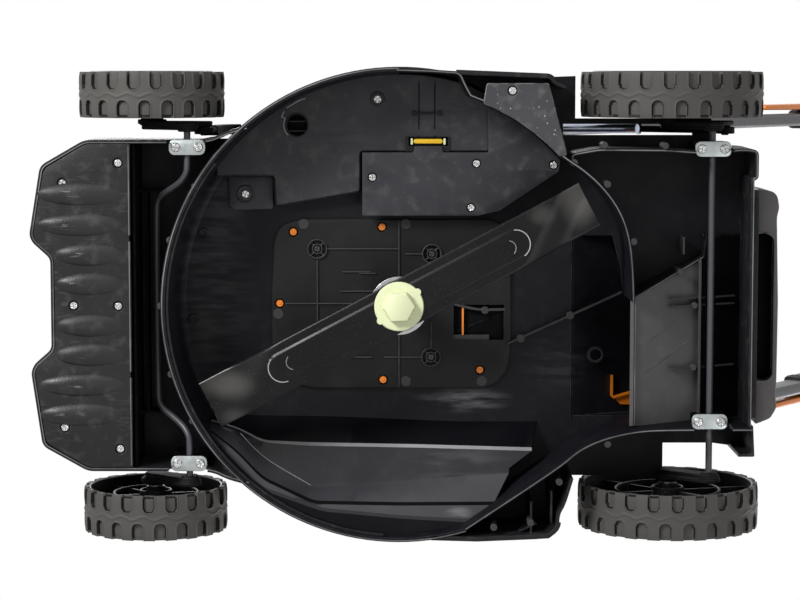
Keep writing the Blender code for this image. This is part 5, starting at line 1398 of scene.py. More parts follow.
        roof = Shape()
        start, end = (-43.0, 104.0), (6.0, 212.0)
        roof.wall([start, end], self.roof_z - 6.0, self.roof_z + 1.0, 1.7)
        for x, y in ((-38.0, 116.0), (-16.0, 163.0)):
            roof.pin(4.0, self.roof_z - 7.0, self.roof_z + 1.0, (x, y, 0.0))
        self.make("roof_rib", roof, Skin.RIB_LIT)
        hollow = Shape()
        ring = [(5.5, 0.8), (5.5, -0.7), (7.4, -0.7), (8.6, 0.8)]
        hollow.turned(ring, (-54.6, 188.0, self.roof_z))
        for x, y in ((-20.0, -196.0), (62.0, -186.0)):
            hollow.turned([(r * 0.6, h) for r, h in ring], (x, y, self.roof_z - 2.0))
        self.make("roof_bosses", hollow, Skin.ROOF)

        blocks = Shape()
        for x, y, z in self.clamps:
            top: Level = self.nose_z + 1.0 if y < 0 else self.roof_z + 1.0
            if self.duct_right < x < self.duct_left and y > 0:
                top = self.floor_top
            for start, end in ((y - 15.5, y - 4.6), (y + 4.6, y + 15.5)):
                blocks.prism([(x - 6.0, start), (x + 6.0, start), (x + 6.0, end), (x - 6.0, end)], z - 4.4, top)
            blocks.box(x - 5.9, x + 5.9, y - 5.0, y + 5.0, z + 4.6, z + 24.0)
        # The blocks take the near-black plastic: painted shade.
        self.make("axle_blocks", blocks, Skin.BLACK)

    def build_ramp(self) -> None:
        """The stepped ramp on the right that narrows the chamber away from the duct."""
        lines = (
            ([(-178, -111), (-150, -112), (-63, -113), (52, -118), (150, -118)], 106.0),
            ([(-178, -113), (-152, -121), (-129, -133), (-86, -135), (20, -137), (124, -140), (150, -140)], 79.5),
            ([(-178, -114), (-152, -122), (-129, -135), (-86, -138), (20, -140), (124, -143), (150, -143)], 77.6),
            ([(-178, -115), (-151.5, -124), (-129, -147), (-83.4, -173), (10.4, -166), (102.8, -159),
              (150, -156)], 72.4),
            ([(-178, -116), (-151.5, -127), (-129, -150), (-83.4, -177), (10.4, -170), (102.8, -163),
              (150, -160)], 70.6),
            ([(-178, -118), (-153, -137), (-128, -163), (-80, -186.0), (0, -187.5), (89, -187), (150, -180)], 51.5),
            ([(-178, -119), (-153, -139), (-128, -166), (-80, -189.0), (0, -190.5), (89, -190), (150, -183)], 49.2),
            ([(-178, -120), (-153, -145), (-128, -172), (-72, -192.0), (1, -199), (74, -203), (150, -195)], 46.6),
            ([(-178, -122), (-153, -148), (-128, -175), (-72, -195.0), (1, -202), (74, -206), (150, -200)], 44.8),
            ([(-178, -140), (-153, -160), (-128, -182), (-72, -208.0), (1, -217), (74, -210), (150, -205)], 41.0),
        )
        ends = (132, 126, 126, 104, 104, 90, 90, 75, 75, 66)
        rows = []
        count = 90
        for k in range(count + 1):
            row = []
            for (line, z), end in zip(lines, ends):
                y = (end + 178.0) * k / count - 178.0
                limit = -math.sqrt(max(self.ring ** 2 - y ** 2, 0.0))
                x = sum(follow(line, y + shift) for shift in (-6.0, -3.0, 0.0, 3.0, 6.0)) / 5
                row.append((max(x, limit), y, z))
            rows.append(row)
        rows.append([(x, y + 0.6, self.roof_z + 0.5) for x, y, _ in rows[-1]])
        ramp = self.make("ramp", Shape().loft(rows, capped=False, around=False), Skin.RAMP, sharp=18.0)
        # Each band of the ramp takes a darker or lighter copy of its plastic by how light falls on the steps: painted
        # shade, painted highlights on the crests and a painted shadow in the groove.
        finishes = (Skin.RAMP_DARK, Skin.RAMP_CREST_HIGHLIGHT, Skin.RAMP, Skin.RAMP, Skin.RAMP_LIT, Skin.BLACK, Skin.RAMP_LIT,
                    Skin.RAMP, Skin.RAMP_DARK)
        strips = len(lines) - 1
        for finish in finishes:
            ramp.data.materials.append(finish.material())
        for i, face in enumerate(ramp.data.polygons):
            face.material_index = 1 + i % strips if i < count * strips else 1
        # A thin bright line along the crease: painted highlight.
        crease = [(-150.0, -125.0), (-129.0, -148.5), (-83.4, -175.0)]
        path = [(x, y, 71.0) for y, x in curved(crease, 2)]
        self.make("ramp_crease", Shape().tube(path, 0.5, 8), Skin.RAMP_CREST_HIGHLIGHT)


@dataclass
class GuardPlate(Assembly):
    """The plate screwed under the nose, with its long shallow swellings."""

    low: float = 20.0
    high: float = 23.0
    rear: float = -246.0
    swelling: float = 4.0
    swellings: tuple[Place, ...] = ((103.5, -331.0, -255.0), (75.5, -331.0, -254.0), (48.0, -315.5, -254.0),
                                    (21.0, -315.0, -254.0), (-17.5, -315.0, -254.0), (-44.5, -316.0, -254.0),
                                    (-72.5, -331.0, -254.0), (-100.0, -331.0, -255.0))
    screws: tuple[Point, ...] = ((132.0, -257.0), (113.5, -308.0), (1.0, -299.0), (0.5, -258.0), (-112.0, -308.5),
                                 (-132.0, -257.5))

    def build(self, deck: Deck) -> None:
        """Build the plate inside the nose's wall.

        Args:
            deck: The moulding it is screwed to.
        """
        front = [point for point in deck.nose_line(3.5) if point[1] < self.rear]
        half = front[0][0]
        outline = [(half, self.rear), *front, (-half, self.rear), (-66.0, self.rear), (-65.0, self.rear - 1.2),
                   (-61.0, self.rear - 1.2), (-60.0, self.rear), (60.0, self.rear), (61.0, self.rear - 1.2),
                   (65.0, self.rear - 1.2), (66.0, self.rear)]
        plate = Shape().plate(outline[::-1], self.low, self.high, 0.7)
        wells = [Shape().turned([(0, -2.0), (5.4, -2.0), (5.0, 2.0), (0, 2.0)], (x, y, self.low))
                 for x, y in self.screws]
        self.make("guard_plate", plate, Skin.GUARD, cuts=wells, stands_for=["front_guard"])
        swellings = Shape()
        for x, front_y, rear_y in self.swellings:
            middle, half_length = (front_y + rear_y) / 2, (rear_y - front_y) / 2
            swellings.dome((x, middle), (10.4, half_length), self.low + 0.10, self.low - self.swelling, 0.85,
                           half_length * 0.42)
        self.make("guard_swellings", swellings, Skin.SWELLING, sharp=60.0)
        floors, heads = Shape(), Shape()
        for i, (x, y) in enumerate(self.screws):
            floors.pin(5.6, self.low + 1.9, self.high, (x, y, 0.0), ease=0.1)
            heads.screw(x, y, self.low + 2.3, 3.7, turn=35.0 * i)
        self.make("guard_screw_seats", floors, Skin.HOUSING)
        spans = ((half - 2.0, 66.0), (60.0, -60.0), (-66.0, 2.0 - half))
        line = deck.edging([[(start, self.rear - 1.4), (end, self.rear - 1.4)] for start, end in spans], self.low)
        self.make("guard_edge", line, Skin.EDGE)
        self.make("guard_screws", heads, Skin.SCREW)


@dataclass
class CoverPlates(Assembly):
    """The belly cover with its clip, and the small corner plate at the rim."""

    low: float = 85.0
    high: float = 88.0
    screws: tuple[Point, ...] = ((116.0, -25.0), (129.0, 73.0), (87.5, 68.0), (127.5, 145.5))
    corner_screw: Point = (197.8, 103.5)

    def build(self, deck: Deck) -> None:
        """Build both plates.

        Args:
            deck: The moulding they are screwed to.
        """
        edge = deck.baffle - 2.6
        outline = [(79.7, -34.7), (139.5, -34.7), (139.5, 13.5), (145.5, 14.5), (145.5, 40.5), (139.5, 41.5),
                   (139.5, 84.0), *arc(edge, 24.5, 49.0), (121.6, 150.7), (84.4, 94.7), (79.7, 74.0)]
        wells = [Shape().turned([(0, -2.0), (5.0, -2.0), (4.4, 1.6), (0, 1.6)], (x, y, self.low))
                 for x, y in self.screws]
        cover = Shape().plate(eased(outline, 1.5), self.low, self.high, 0.6)
        self.make("cover_plate", cover, Skin.COVER, cuts=wells, stands_for=["belly_cover"])
        seats, heads = Shape(), Shape()
        for i, (x, y) in enumerate(self.screws):
            seats.pin(5.0, self.low + 1.5, deck.roof_z + 1.0, (x, y, 0.0), ease=0.1)
            heads.screw(x, y, self.low + 1.4, 3.7, turn=25.0 * i)
        bar = Shape().plate(rounded(147.4, 152.2, 13.6, 41.4, 2.3), 87.0, 97.0, 1.6)
        self.make("clip_bar", bar, Skin.YELLOW, stands_for=["cover_latch"])
        # Ivory ends on the clip: painted glints.
        glints = Shape()
        for y0, y1 in ((11.0, 13.2), (41.8, 44.0)):
            glints.plate(rounded(146.6, 152.6, y0, y1, 0.8), 87.4, 91.0, 0.4)
        self.make("clip_end_glints", glints, Skin.NYLON)
        # A near-black box round the clip: painted shadow.
        well = Shape().box(145.6, 154.0, 9.0, 46.0, 88.4, 90.6)
        self.make("clip_shadow", well, Skin.BLACK)

        low = deck.rim_z
        outline = [(203.9, 80.5), (203.9, 136.0), (139.5, 153.0), *arc(deck.baffle - 1.9, 46.6, 22.6)]
        corner = Shape().plate(eased(outline, 1.5)[::-1], low - 0.5, low + 3.0, 0.7)
        x, y = self.corner_screw
        well = Shape().turned([(0, -2.6), (5.0, -2.6), (4.6, 1.4), (0, 1.4)], (x, y, low))
        self.make("corner_cover", corner, Skin.CORNER, cuts=[well], stands_for=["corner_plate"])
        seats.pin(5.0, low + 1.3, low + 3.0, (x, y, 0.0), ease=0.1)
        heads.screw(x, y, low + 1.2, 3.7, turn=60.0)
        self.make("cover_screw_seats", seats, Skin.HOUSING)
        self.make("cover_screws", heads, Skin.SCREW)
        self.dress("controller_board", Skin.BOARD)


@dataclass
class MotorPanel(Assembly):
    """The panel that carries the motor, with its star bosses, ribs and the cowl's pins in it."""

    low: float = 100.9
    high: float = 104.7
    stars: tuple[Point, ...] = ((47.4, -77.7), (42.6, 31.3), (-56.2, 30.5), (-56.2, -78.0))
    pins: tuple[Point, ...] = ((63.4, -100.4), (68.1, -16.1), (-4.8, -113.5), (-78.1, -15.2), (-68.6, 77.2))
    marks: tuple[Point, ...] = ((71.0, -90.6), (71.0, 6.6), (-14.8, -115.0), (-79.5, 6.7), (-79.3, 79.0))

    def build(self, deck: Deck) -> None:
        """Build the panel and dress the motor's own parts.

        Args:
            deck: The moulding it is screwed to.
        """
        corners = [(-2.0, -121.5), (55.0, -119.0), (69.0, -112.6), (75.7, -94.0), (75.7, 86.0), (70.0, 99.0),
                   (55.0, 106.0), (-40.0, 107.0), (-69.0, 104.0), (-83.0, 91.5), (-86.0, 77.0), (-86.0, -85.0),
                   (-78.0, -113.0), (-49.5, -121.0)]
        panel = Shape().plate(eased(corners, 12.0), self.low, self.high, 1.1)
        x0, x1, y0, y1 = deck.window
        cuts = [Shape().pin(18.0, self.low - 5, self.high + 2, ease=0.1, sides=48),
                Shape().box(x0, x1, y0, y1, self.low - 5, self.high + 2)]
        cuts += [Shape().pin(8.2, self.low - 2, self.high - 0.6, (x, y, 0.0), ease=0.1) for x, y in self.stars]
        cuts += [Shape().pin(4.9, self.low - 2, self.high + 2, (x, y, 0.0), ease=0.1) for x, y in self.pins]
        self.make("motor_panel", panel, Skin.PANEL, cuts=cuts, stands_for=["motor_carrier"])
        # A near-black sheet behind the window over the motor: painted shade.
        backing = rounded(x0 - 1.0, x1 + 1.0, y0 - 1.0, y1 + 1.0, 1.5)
        shade_sheet = Shape().plate(backing, deck.top_z - 1.4, deck.top_z - 0.1, 0.4)
        shade_sheet.wall([(x0 + 6.0, y0), (x1 - 8.0, y1)], deck.top_z - 2.4, deck.top_z - 1.0, 1.6)
        self.make("window_shadow", shade_sheet, Skin.BLACK)

        ribs = Shape()
        low = self.low
        ribs.turned([(17.0, -4.0), (20.0, -4.0), (20.6, 0.5), (17.0, 0.5)], (0.0, 0.0, low), sides=48)
        for x, y in self.stars:
            ribs.turned([(8.4, -2.6), (8.9, -3.0), (9.5, -2.6), (9.6, 0.3), (8.4, 0.3)], (x, y, low))
            ribs.turned([(4.0, -0.6), (5.0, -0.6), (5.0, 3.0), (4.0, 3.0)], (x, y, low))
            for i in range(4):
                angle = math.radians(45.0 + 90.0 * i)
                start = (x + 4.6 * math.cos(angle), y + 4.6 * math.sin(angle))
                ribs.wall([start, (x + 8.6 * math.cos(angle), y + 8.6 * math.sin(angle))], low - 0.4, low + 2.6, 1.2)
        lines = (((47.4, -68.0), (47.4, 0.0)), ((37.0, -77.7), (-26.0, -77.7)), ((7.0, -56.0), (7.0, -21.0)),
                 ((21.0, 0.0), (74.5, 0.0)), ((-21.0, 0.0), (-84.5, 0.0)), ((-56.2, 21.0), (-56.2, -14.0)),
                 ((-4.8, -108.0), (-4.8, -26.0)), ((25.5, -54.0), (25.5, -27.0)),
                 ((33.0, 31.3), (16.0, 31.3)), ((42.6, 22.0), (42.6, 6.0)), ((-46.5, 30.5), (-22.0, 30.5)),
                 ((24.0, -38.0), (24.0, -22.0)), ((-46.0, -78.0), (-30.0, -78.0)), ((-56.2, -68.0), (-56.2, -26.0)))
        for start, end in lines:
            ribs.wall([start, end], low - 1.8, low + 0.5, 1.1)
        self.make("panel_ribs", ribs, Skin.RIB_LIT, bevel=0.2)
        marks = Shape()
        for x, y in self.marks:
            marks.pin(4.8, low - 0.35, low + 0.5, (x, y, 0.0), ease=0.1)
        bar = curved([(x1 + 1.0, y0 - 1.0), (x1 - 2.5, y0 + 12.0), (x1 - 5.0, y0 + 26.0), (x1 - 4.5, y1 + 1.0)], 2)
        marks.wall(bar, low - 0.8, low + 3.4, 2.2)
        marks.pin(3.6, low - 1.2, low + 3.0, (x1 - 5.3, y0 + 30.0, 0.0), ease=0.2)
        marks.box(x0 - 1.0, x0 + 5.0, y0 - 2.0, y1 - 14.0, low + 2.2, low + 3.6)
        self.make("panel_marks", marks, Skin.RIB_LIT)
        heads = Shape()
        for x, y in self.stars:
            heads.screw(x, y, low - 0.2, 3.0, turn=10.0)
        self.make("panel_screws", heads, Skin.ROD)
        pins = Shape()
        for x, y in self.pins:
            pins.turned([(0, -0.7), (1.3, -0.7), (1.7, -0.2), (3.1, -0.2), (3.5, 0.3), (3.5, 5.0), (0, 5.0)],
                        (x, y, low), sides=8)
        pins.box(x0 + 5.0, x1 + 1.0, y0 + 8.0, y0 + 9.7, low + 1.2, low + 5.5)
        self.make("cowl_pins", pins, Skin.ORANGE)
        for node, finish in (("motor_can", Skin.STEEL), ("motor_stator", Skin.COPPER), ("bearing_lower", Skin.STEEL),
                             ("bearing_upper", Skin.STEEL)):
            self.dress(node, finish)


@dataclass
class CuttingUnit(Assembly):
    """The blade with its bead and wings, its holder and the bolt that clamps it."""

    body: str = "rotor"
    swing: float = 200.0
    width: float = 45.0
    thick: float = 3.5
    low: float = 25.0
    turn: float = 28.0
    wing_start: float = 112.0
    wing_lift: float = 13.0
    bead_half: float = 136.0
    bead_radius: float = 14.5

    def place(self, along: float, across: float, z: float) -> Place:
        """A point of the blade, from its distance along and across the bar."""
        turn = math.radians(self.turn)
        return (along * math.sin(turn) + across * math.cos(turn), along * math.cos(turn) - across * math.sin(turn), z)

    def lift(self, along: float, across: float) -> float:
        """How far the wing at each tip rises above the bar."""
        reach = (abs(along) - self.wing_start) / (self.swing - self.wing_start)
        trail = 0.5 - across * math.copysign(1.0, along) / self.width
        slope = min(1.0, max(0.0, reach * 1.5 + trail - 1.0))
        return self.wing_lift * slope * slope * (3 - 2 * slope)

    def build(self) -> None:
        """Build the bar, bead, marks, holder and bolt."""
        half = math.sqrt(self.swing ** 2 - (self.width / 2) ** 2)
        rows, side = 90, self.width / 2
        across = [-side, -side + 1.2] + [side * 2 * i / 16 - side for i in range(1, 16)] + [side - 1.2, side]
        section = [(u, 0.0 if abs(u) < side else 0.9) for u in across]
        section += [(u, self.thick if abs(u) < side else self.thick - 0.9) for u in reversed(across)]
        rings = []
        for k in range(rows + 1):
            along = -half + 2 * half * k / rows
            rings.append([self.place(along, u, self.low + v + self.lift(along, u)) for u, v in section])
        hole = Shape().pin(9.0, self.low - 5, self.low + 10, ease=0.1)
        self.make("blade_bar", Shape().loft(rings), Skin.BLADE, cuts=[hole], stands_for=["blade"], sharp=40.0)
        bead = Shape()
        layers = []
        for radius, z in ((self.bead_radius + 0.8, 0.2), (self.bead_radius, -0.1), (self.bead_radius - 1.0, -0.8),
                          (self.bead_radius - 2.2, -1.5), (self.bead_radius - 3.4, -1.6),
                          (self.bead_radius - 4.6, -1.3), (self.bead_radius - 6.0, -1.2), (2.0, -1.2)):
            reach = self.bead_half - 0.5
            outline = hull([(self.bead_radius - reach, 0.0, radius), (reach - self.bead_radius, 0.0, radius)], 48)
            layers.append([self.place(a, u, self.low + z) for a, u in outline])
        bead.loft(layers)
        self.make("blade_bead", bead, Skin.BLADE, sharp=60.0)
        # Bright arcs along the stamped marks: painted highlight.
        marks = Shape()
        for along, start in ((-104.0, 130.0), (108.0, -50.0)):
            path = [self.place(along + 13.0 * math.cos(math.radians(a)), 9.0 * math.sin(math.radians(a)),
                               self.low - 1.25) for a in range(int(start), int(start) + 100, 10)]
            marks.tube(path, 0.45, 8)
        self.make("blade_stampings", marks, Skin.RAMP_CREST_HIGHLIGHT)
        # Pale arcs round the bead's ends: painted highlight.
        glints = Shape()
        middle = self.bead_half - self.bead_radius
        for start, stop, way, size in ((95.0, 250.0, -1, 0.55), (-70.0, 85.0, 1, 0.5)):
            spots = [(way * middle + 13.4 * math.cos(math.radians(a)), 13.4 * math.sin(math.radians(a)))
                     for a in range(int(start), int(stop), 10)]
            glints.tube([self.place(a, -u, self.low - 1.0) for a, u in spots], size, 8)
        self.make("bead_glints", glints, Skin.GLINT)
        self.dress("blade_holder", Skin.STEEL)
        self.dress("motor_shaft", Skin.STEEL)

        seat = self.low - 1.5
        bolt = Shape().turned([(0, 0.0), (22.2, 0.0), (22.8, -0.6), (22.8, -2.0), (22.0, -2.9), (17.0, -3.4),
                               (0, -3.4)], (0.0, 0.0, seat), sides=64)
        for angle in (52.0, 232.0):
            middle = math.radians(angle)
            spot = (21.6 * math.cos(middle), 21.6 * math.sin(middle))
            bolt.turned([(0, -3.0), (3.0, -3.0), (3.4, -2.6), (3.4, -0.2), (0, -0.2)], (*spot, seat), sides=16)
        layers = []
        for radius, z in ((16.0, -3.2), (15.6, -3.8), (15.6, -9.6), (15.0, -10.8), (13.8, -11.6)):
            outline = eased([(radius * math.cos(math.radians(self.turn + 60 * i)),
                              radius * math.sin(math.radians(self.turn + 60 * i))) for i in range(6)], 1.2)
            layers.append((outline, seat + z))
        bolt.stack(layers)
        self.make("blade_nut", bolt, Skin.NYLON, stands_for=["blade_bolt"])
        ring = Shape().turned([(20.0, 6.6), (27.0, 6.6), (27.0, 4.6), (24.0, 3.8), (20.0, 3.8)], (0.0, 0.0, self.low))
        self.make("holder_ring", ring, Skin.STEEL)


@dataclass
class RunningGear(Assembly):
    """Axle clamps, cranked axles, wheels, the link between the axles and the height lever."""

    crank: Point = (35.0, 30.0)
    rod_radius: float = 3.1
    arm_x: float = 165.5
    arm_thick: float = 4.0
    wheel_x: float = 173.0
    wheel_wide: float = 42.0
    link_x: float = 160.5
    link_z: float = 142.0
    wheels: dict[str, tuple[float, int]] = field(default_factory=lambda: {"front": (68.0, 20), "rear": (86.0, 24)})

    def build(self, deck: Deck) -> None:
        """Build the whole running gear.

        Args:
            deck: The moulding whose blocks hold the axles.
        """
        names = ("front_left", "front_right", "rear_left", "rear_right")
        for name, (x, y, z) in zip(names, deck.clamps):
            self.build_clamp(name, x, y, z - 4.8)
        bend = [(166.0, 0.0), (128.0, 0.0), (122.0, 1.0), (114.0, 8.0), (107.0, 21.0), (101.0, 34.0), (95.0, 40.0),
                (86.0, 41.5)]
        front = bend + [(-x, out) for x, out in reversed(bend)]
        self.build_axle("front", deck.front_rod, front)
        self.build_axle("rear", deck.rear_rod, [(166.0, 0.0), (60.0, 0.0), (-60.0, 0.0), (-166.0, 0.0)])
        for row, pivot in (("front", deck.front_rod), ("rear", deck.rear_rod)):
            radius, count = self.wheels[row]
            for side in Side:
                self.build_wheel(row, side, (pivot[0] - self.crank[0], pivot[1] + self.crank[1]), radius, count)
        self.build_link(deck)

    def build_clamp(self, name: str, x: float, y: float, top: float) -> None:
        """A plated strap with its two screws under an axle.

        Args:
            name: Which of the four it is.
            x: Its middle.
            y: Its middle.
            top: Height of its upper face.
        """
        plate = Shape().plate(rounded(x - 7.2, x + 7.2, y - 16.8, y + 16.8, 5.4), top - 2.4, top, 0.6)
        self.make(f"strap_{name}", plate, Skin.ZINC, stands_for=[f"axle_clamp_{name}"])
        heads = Shape()
        for side, turn in ((-1, 15.0), (1, 70.0)):
            heads.screw(x, y + side * 10.5, top - 2.4, 4.3, turn)
        self.make(f"strap_screws_{name}", heads, Skin.SCREW)

    def build_axle(self, row: str, pivot: Point, path: Sequence[Point]) -> None:
        """An axle rod with its crank arms, their bosses and the wheel stubs.

        Args:
            row: Front or rear.
            pivot: Where the rod's axis lies, as (y, z).
            path: The rod as (x, distance out along the crank's lean).
        """
        length = math.hypot(*self.crank)
        lean = (-self.crank[0] / length, self.crank[1] / length)
        points = curved([(x, pivot[0] + lean[0] * out, pivot[1] + lean[1] * out) for x, out in path], 2)
        body = f"{row}_crank"
        self.make(f"{row}_rod", Shape().tube(points, self.rod_radius, 20), Skin.ROD, body=body,
                  stands_for=[f"{row}_axle"])
        hub = (pivot[0] - self.crank[0], pivot[1] + self.crank[1])
        arms = Shape()
        for side in Side:
            sign = side.value
            inner, outer = sign * self.arm_x, sign * (self.arm_x + self.arm_thick)
            discs = [(*pivot, 11.0), (*hub, 12.0)]
            if side is Side.LEFT:
                eye = (pivot[0] + 14.0, pivot[1] + 20.0)
                discs.append((*eye, 8.0))
                arms.pin(3.4, self.link_x - 4.5, self.arm_x + 1.0, (0.0, *eye), Axis.X)
                arms.pin(5.2, self.arm_x - 2.2, self.arm_x + 1.0, (0.0, *eye), Axis.X)
            arms.slab(hull(discs), inner, outer, 0.9)
            arms.slab(hull([(*pivot, 10.0), (*hub, 10.0)]), inner - sign * 4.0, outer - sign * 1.0, 0.9)
            arms.pin(8.5, sign * (self.arm_x - 5.5), sign * (self.arm_x + 1.0), (0.0, *pivot), Axis.X, 0.8)
            arms.pin(10.5, sign * (self.arm_x - 2.0), sign * (self.arm_x + 1.0), (0.0, *pivot), Axis.X, 0.8)
            arms.pin(13.5, sign * (self.arm_x + 1.0), sign * (self.arm_x + 5.4), (0.0, *hub), Axis.X, 0.7)
            arms.pin(10.5, sign * (self.arm_x + 5.0), sign * (self.arm_x + 7.2), (0.0, *hub), Axis.X, 0.5)
        self.make(f"{row}_arms", arms, Skin.ARM, body=body)
        stubs = Shape()
        for side in Side:
            sign = side.value
            tip = self.wheel_x + self.wheel_wide - 3.5
            stubs.pin(6.0, sign * (self.arm_x + 1.0), sign * tip, (0.0, *hub), Axis.X, 0.6)
            stubs.pin(11.0, sign * (tip - 2.2), sign * (tip - 1.0), (0.0, *hub), Axis.X, 0.2)
        self.make(f"{row}_stubs", stubs, Skin.STEEL, body=body)

    def build_wheel(self, row: str, side: Side, hub: Point, radius: float, count: int) -> None:
        """A moulded wheel with a recessed tread, ribbed hollow side and snapped-on cap.

        Args:
            row: Front or rear.
            side: The operator's left or right.
            hub: Its axis as (y, z).
            radius: Its radius.
            count: Recesses round each edge.
        """
        sign, word, wide = side.value, side.word, self.wheel_wide
        body = f"{row}_{word}_wheel"
        steps, lanes = count * 28, 56
        slot_half, slot_long, depth = 5.4, 16.0, 3.2

        def within(angle: float, v: float) -> float:
            """How far a place lies inside the nearest recess, or less than 0 outside."""
            outer = v > wide / 2
            from_edge = wide - v if outer else v
            turn = angle * count / (2 * math.pi) + (0.5 if outer else 0.0)
            off = abs(turn - round(turn)) * 2 * math.pi * radius / count
            along = max(0.0, from_edge - (slot_long - slot_half))
            return slot_half - math.hypot(off, along)

        def sink(angle: float, v: float) -> float:
            """How deep the tread lies at a place round and across it."""
            inside = within(angle, v)
            crown = 1.5 * max(0.0, abs(v - wide / 2) / (wide / 2) - 0.62) ** 2 * 4
            ridge = 0.55 * math.exp(-((inside + 0.7) / 0.6) ** 2)
            band = wide / 2 + 1.6 * math.sin(angle * count)
            belt = 0.7 * math.exp(-((v - band) / 1.1) ** 2)
            share = min(1.0, max(0.0, inside / 0.8))
            return 1.1 + crown + depth * share * share * (3 - 2 * share) - ridge - belt

        def hoop(v: float, inset: float | None = None) -> list[Place]:
            """A ring at a place across the tread, as deep as its pattern unless an inset is given.

            Args:
                v: The place across the tread.
                inset: How far the whole ring lies inside the wheel's radius.

            Returns:
                The ring.
            """
            ring = []
            for angle in turns(steps):
                r = radius - (sink(angle, v) if inset is None else inset)
                ring.append((sign * (self.wheel_x + v), hub[0] + r * math.cos(angle), hub[1] + r * math.sin(angle)))
            return ring

        rings = [hoop(5.0, 7.0), hoop(0.4, 5.5)]
        rings += [hoop(wide * k / lanes) for k in range(lanes + 1)]
        rings += [hoop(wide - 0.4, 6.5), hoop(wide - 5.0, 9.0)]
        tread = self.make(f"tread_{row}_{word}", Shape().loft(rings, capped=False), Skin.TYRE,
                          body=body, stands_for=[f"wheel_{row}_{word}"], sharp=50.0)
        # The recesses' walls take a darker copy of the tyre plastic: painted shade.
        tread.data.materials.append(Skin.GROOVE_SHADE.material())
        for face in tread.data.polygons:
            spot = face.center / MM - Vector((0.0, BLADE_AXIS_Y / MM + hub[0], hub[1]))
            across = abs(spot.x) - self.wheel_x
            inside = within(math.atan2(spot.z, spot.y) % (2 * math.pi), across)
            if 2.5 < across < wide - 2.5 and -0.1 < inside < 0.9 and radius - math.hypot(spot.y, spot.z) < depth + 2.6:
                face.material_index = 1

        web = Shape()
        r = radius
        profile = [(r - 4.6, 1.0), (r - 5.6, 0.4), (r - 7.0, 1.2), (r - 8.4, wide - 10.0), (r * 0.62, wide - 10.5),
                   (6.4, wide - 10.5), (6.4, wide - 6.0), (r - 10.0, wide - 6.0), (r - 9.0, wide - 2.0),
                   (r - 6.0, wide - 0.8), (r - 4.6, wide - 3.0)]
        web.turned([(q, sign * (self.wheel_x + h)) for q, h in profile], (0.0, *hub), Axis.X, 96)
        for inner_r, outer_r, start in ((6.4, 9.2, 1.6), (13.2, 15.4, 5.0), (r * 0.56, r * 0.56 + 2.4, 7.0)):
            ring = [(inner_r, start + 0.6), (inner_r + 0.6, start), (outer_r - 0.6, start), (outer_r, start + 0.6),
                    (outer_r, wide - 9.5), (inner_r, wide - 9.5)]
            web.turned([(q, sign * (self.wheel_x + h)) for q, h in ring], (0.0, *hub), Axis.X, 64)
        for i in range(6):
            angle = 2 * math.pi * (i + 0.25) / 6
            way = Vector((math.cos(angle), math.sin(angle)))
            start, end = Vector(hub) + way * 8.6, Vector(hub) + way * (r - 7.6)
            x0, x1 = sign * (self.wheel_x + 9.0), sign * (self.wheel_x + wide - 9.5)
            web.slab(ribbon([tuple(start), tuple(end)], 2.2), x0, x1)
        self.make(f"wheel_web_{row}_{word}", web, Skin.HUB, body=body, sharp=40.0)

        cap_r = radius - 10.6
        cap = [(0, 0.8), (9.0, 0.8), (10.0, 0.2), (12.0, -0.6), (cap_r * 0.52, -0.8), (cap_r * 0.88, 0.6),
               (cap_r * 0.96, 0.9), (cap_r, 0.0), (cap_r, -5.6), (0, -5.6)]
        shape = Shape().turned([(q, sign * (self.wheel_x + wide + h)) for q, h in cap], (0.0, *hub), Axis.X, 96)
        slots = []
        for angle in turns(10):
            way = Vector((math.cos(angle), math.sin(angle)))
            start, end = Vector(hub) + way * cap_r * 0.40, Vector(hub) + way * cap_r * 0.80
            outline = hull([(*start, 1.8), (*end, 4.2)], 16)
            slots.append(Shape().slab(outline, sign * (self.wheel_x + wide - 2.6), sign * (self.wheel_x + wide + 3.0)))
        self.make(f"cap_{row}_{word}", shape, Skin.HUB, body=body, cuts=slots, stands_for=[f"hub_cap_{row}_{word}"])

    def build_link(self, deck: Deck) -> None:
        """The link rod, the height lever with its knob, and the notched plate.

        Args:
            deck: The moulding the lever's plate stands on.
        """
        x, rise = self.link_x, self.link_z
        start = (deck.front_rod[0] + 14.0, deck.front_rod[1] + 20.0)
        end = (deck.rear_rod[0] + 14.0, deck.rear_rod[1] + 20.0)
        route = [start, (start[0] + 12.0, rise - 18.0), (start[0] + 28.0, rise), (deck.rear_rod[0] - 80.0, rise),
                 (deck.rear_rod[0] - 62.0, rise - 12.0), end]
        path = curved([(x, y, z) for y, z in route], 3)
        middle = [point for point in path if -150.0 < point[1] < 232.0]
        self.make("link_tube", Shape().tube(middle, 4.5, 24), Skin.LINK, body="height_link", stands_for=["linkage_rod"])
        ends = Shape()
        for points in ([p for p in path if p[1] <= -148.0], [p for p in path if p[1] >= 230.0]):
            ends.run(points, rounded(-3.0, 3.0, -5.5, 5.5, 2.0, 30.0))
        sleeve = [p for p in path if -176.0 <= p[1] <= -146.0]
        ends.run(sleeve, rounded(-5.2, 4.4, -5.8, 5.8, 2.0, 30.0))
        for y, z in (start, end):
            ends.turned([(3.9, -3.2), (8.4, -3.2), (9.0, -2.6), (9.0, 2.6), (8.4, 3.2), (3.9, 3.2)], (x, y, z), Axis.X)
        self.make("link_ends", ends, Skin.ARM, body="height_link")
        collar = Shape().turned([(4.4, -2.2), (5.2, -2.2), (5.5, -1.4), (5.5, 1.4), (5.2, 2.2), (4.4, 2.2)],
                                (x, 231.0, rise), Axis.Y)
        collar.turned([(4.4, -1.6), (5.2, -1.6), (5.2, 1.6), (4.4, 1.6)], (x, -148.0, rise), Axis.Y)
        self.make("link_collars", collar, Skin.STEEL, body="height_link")

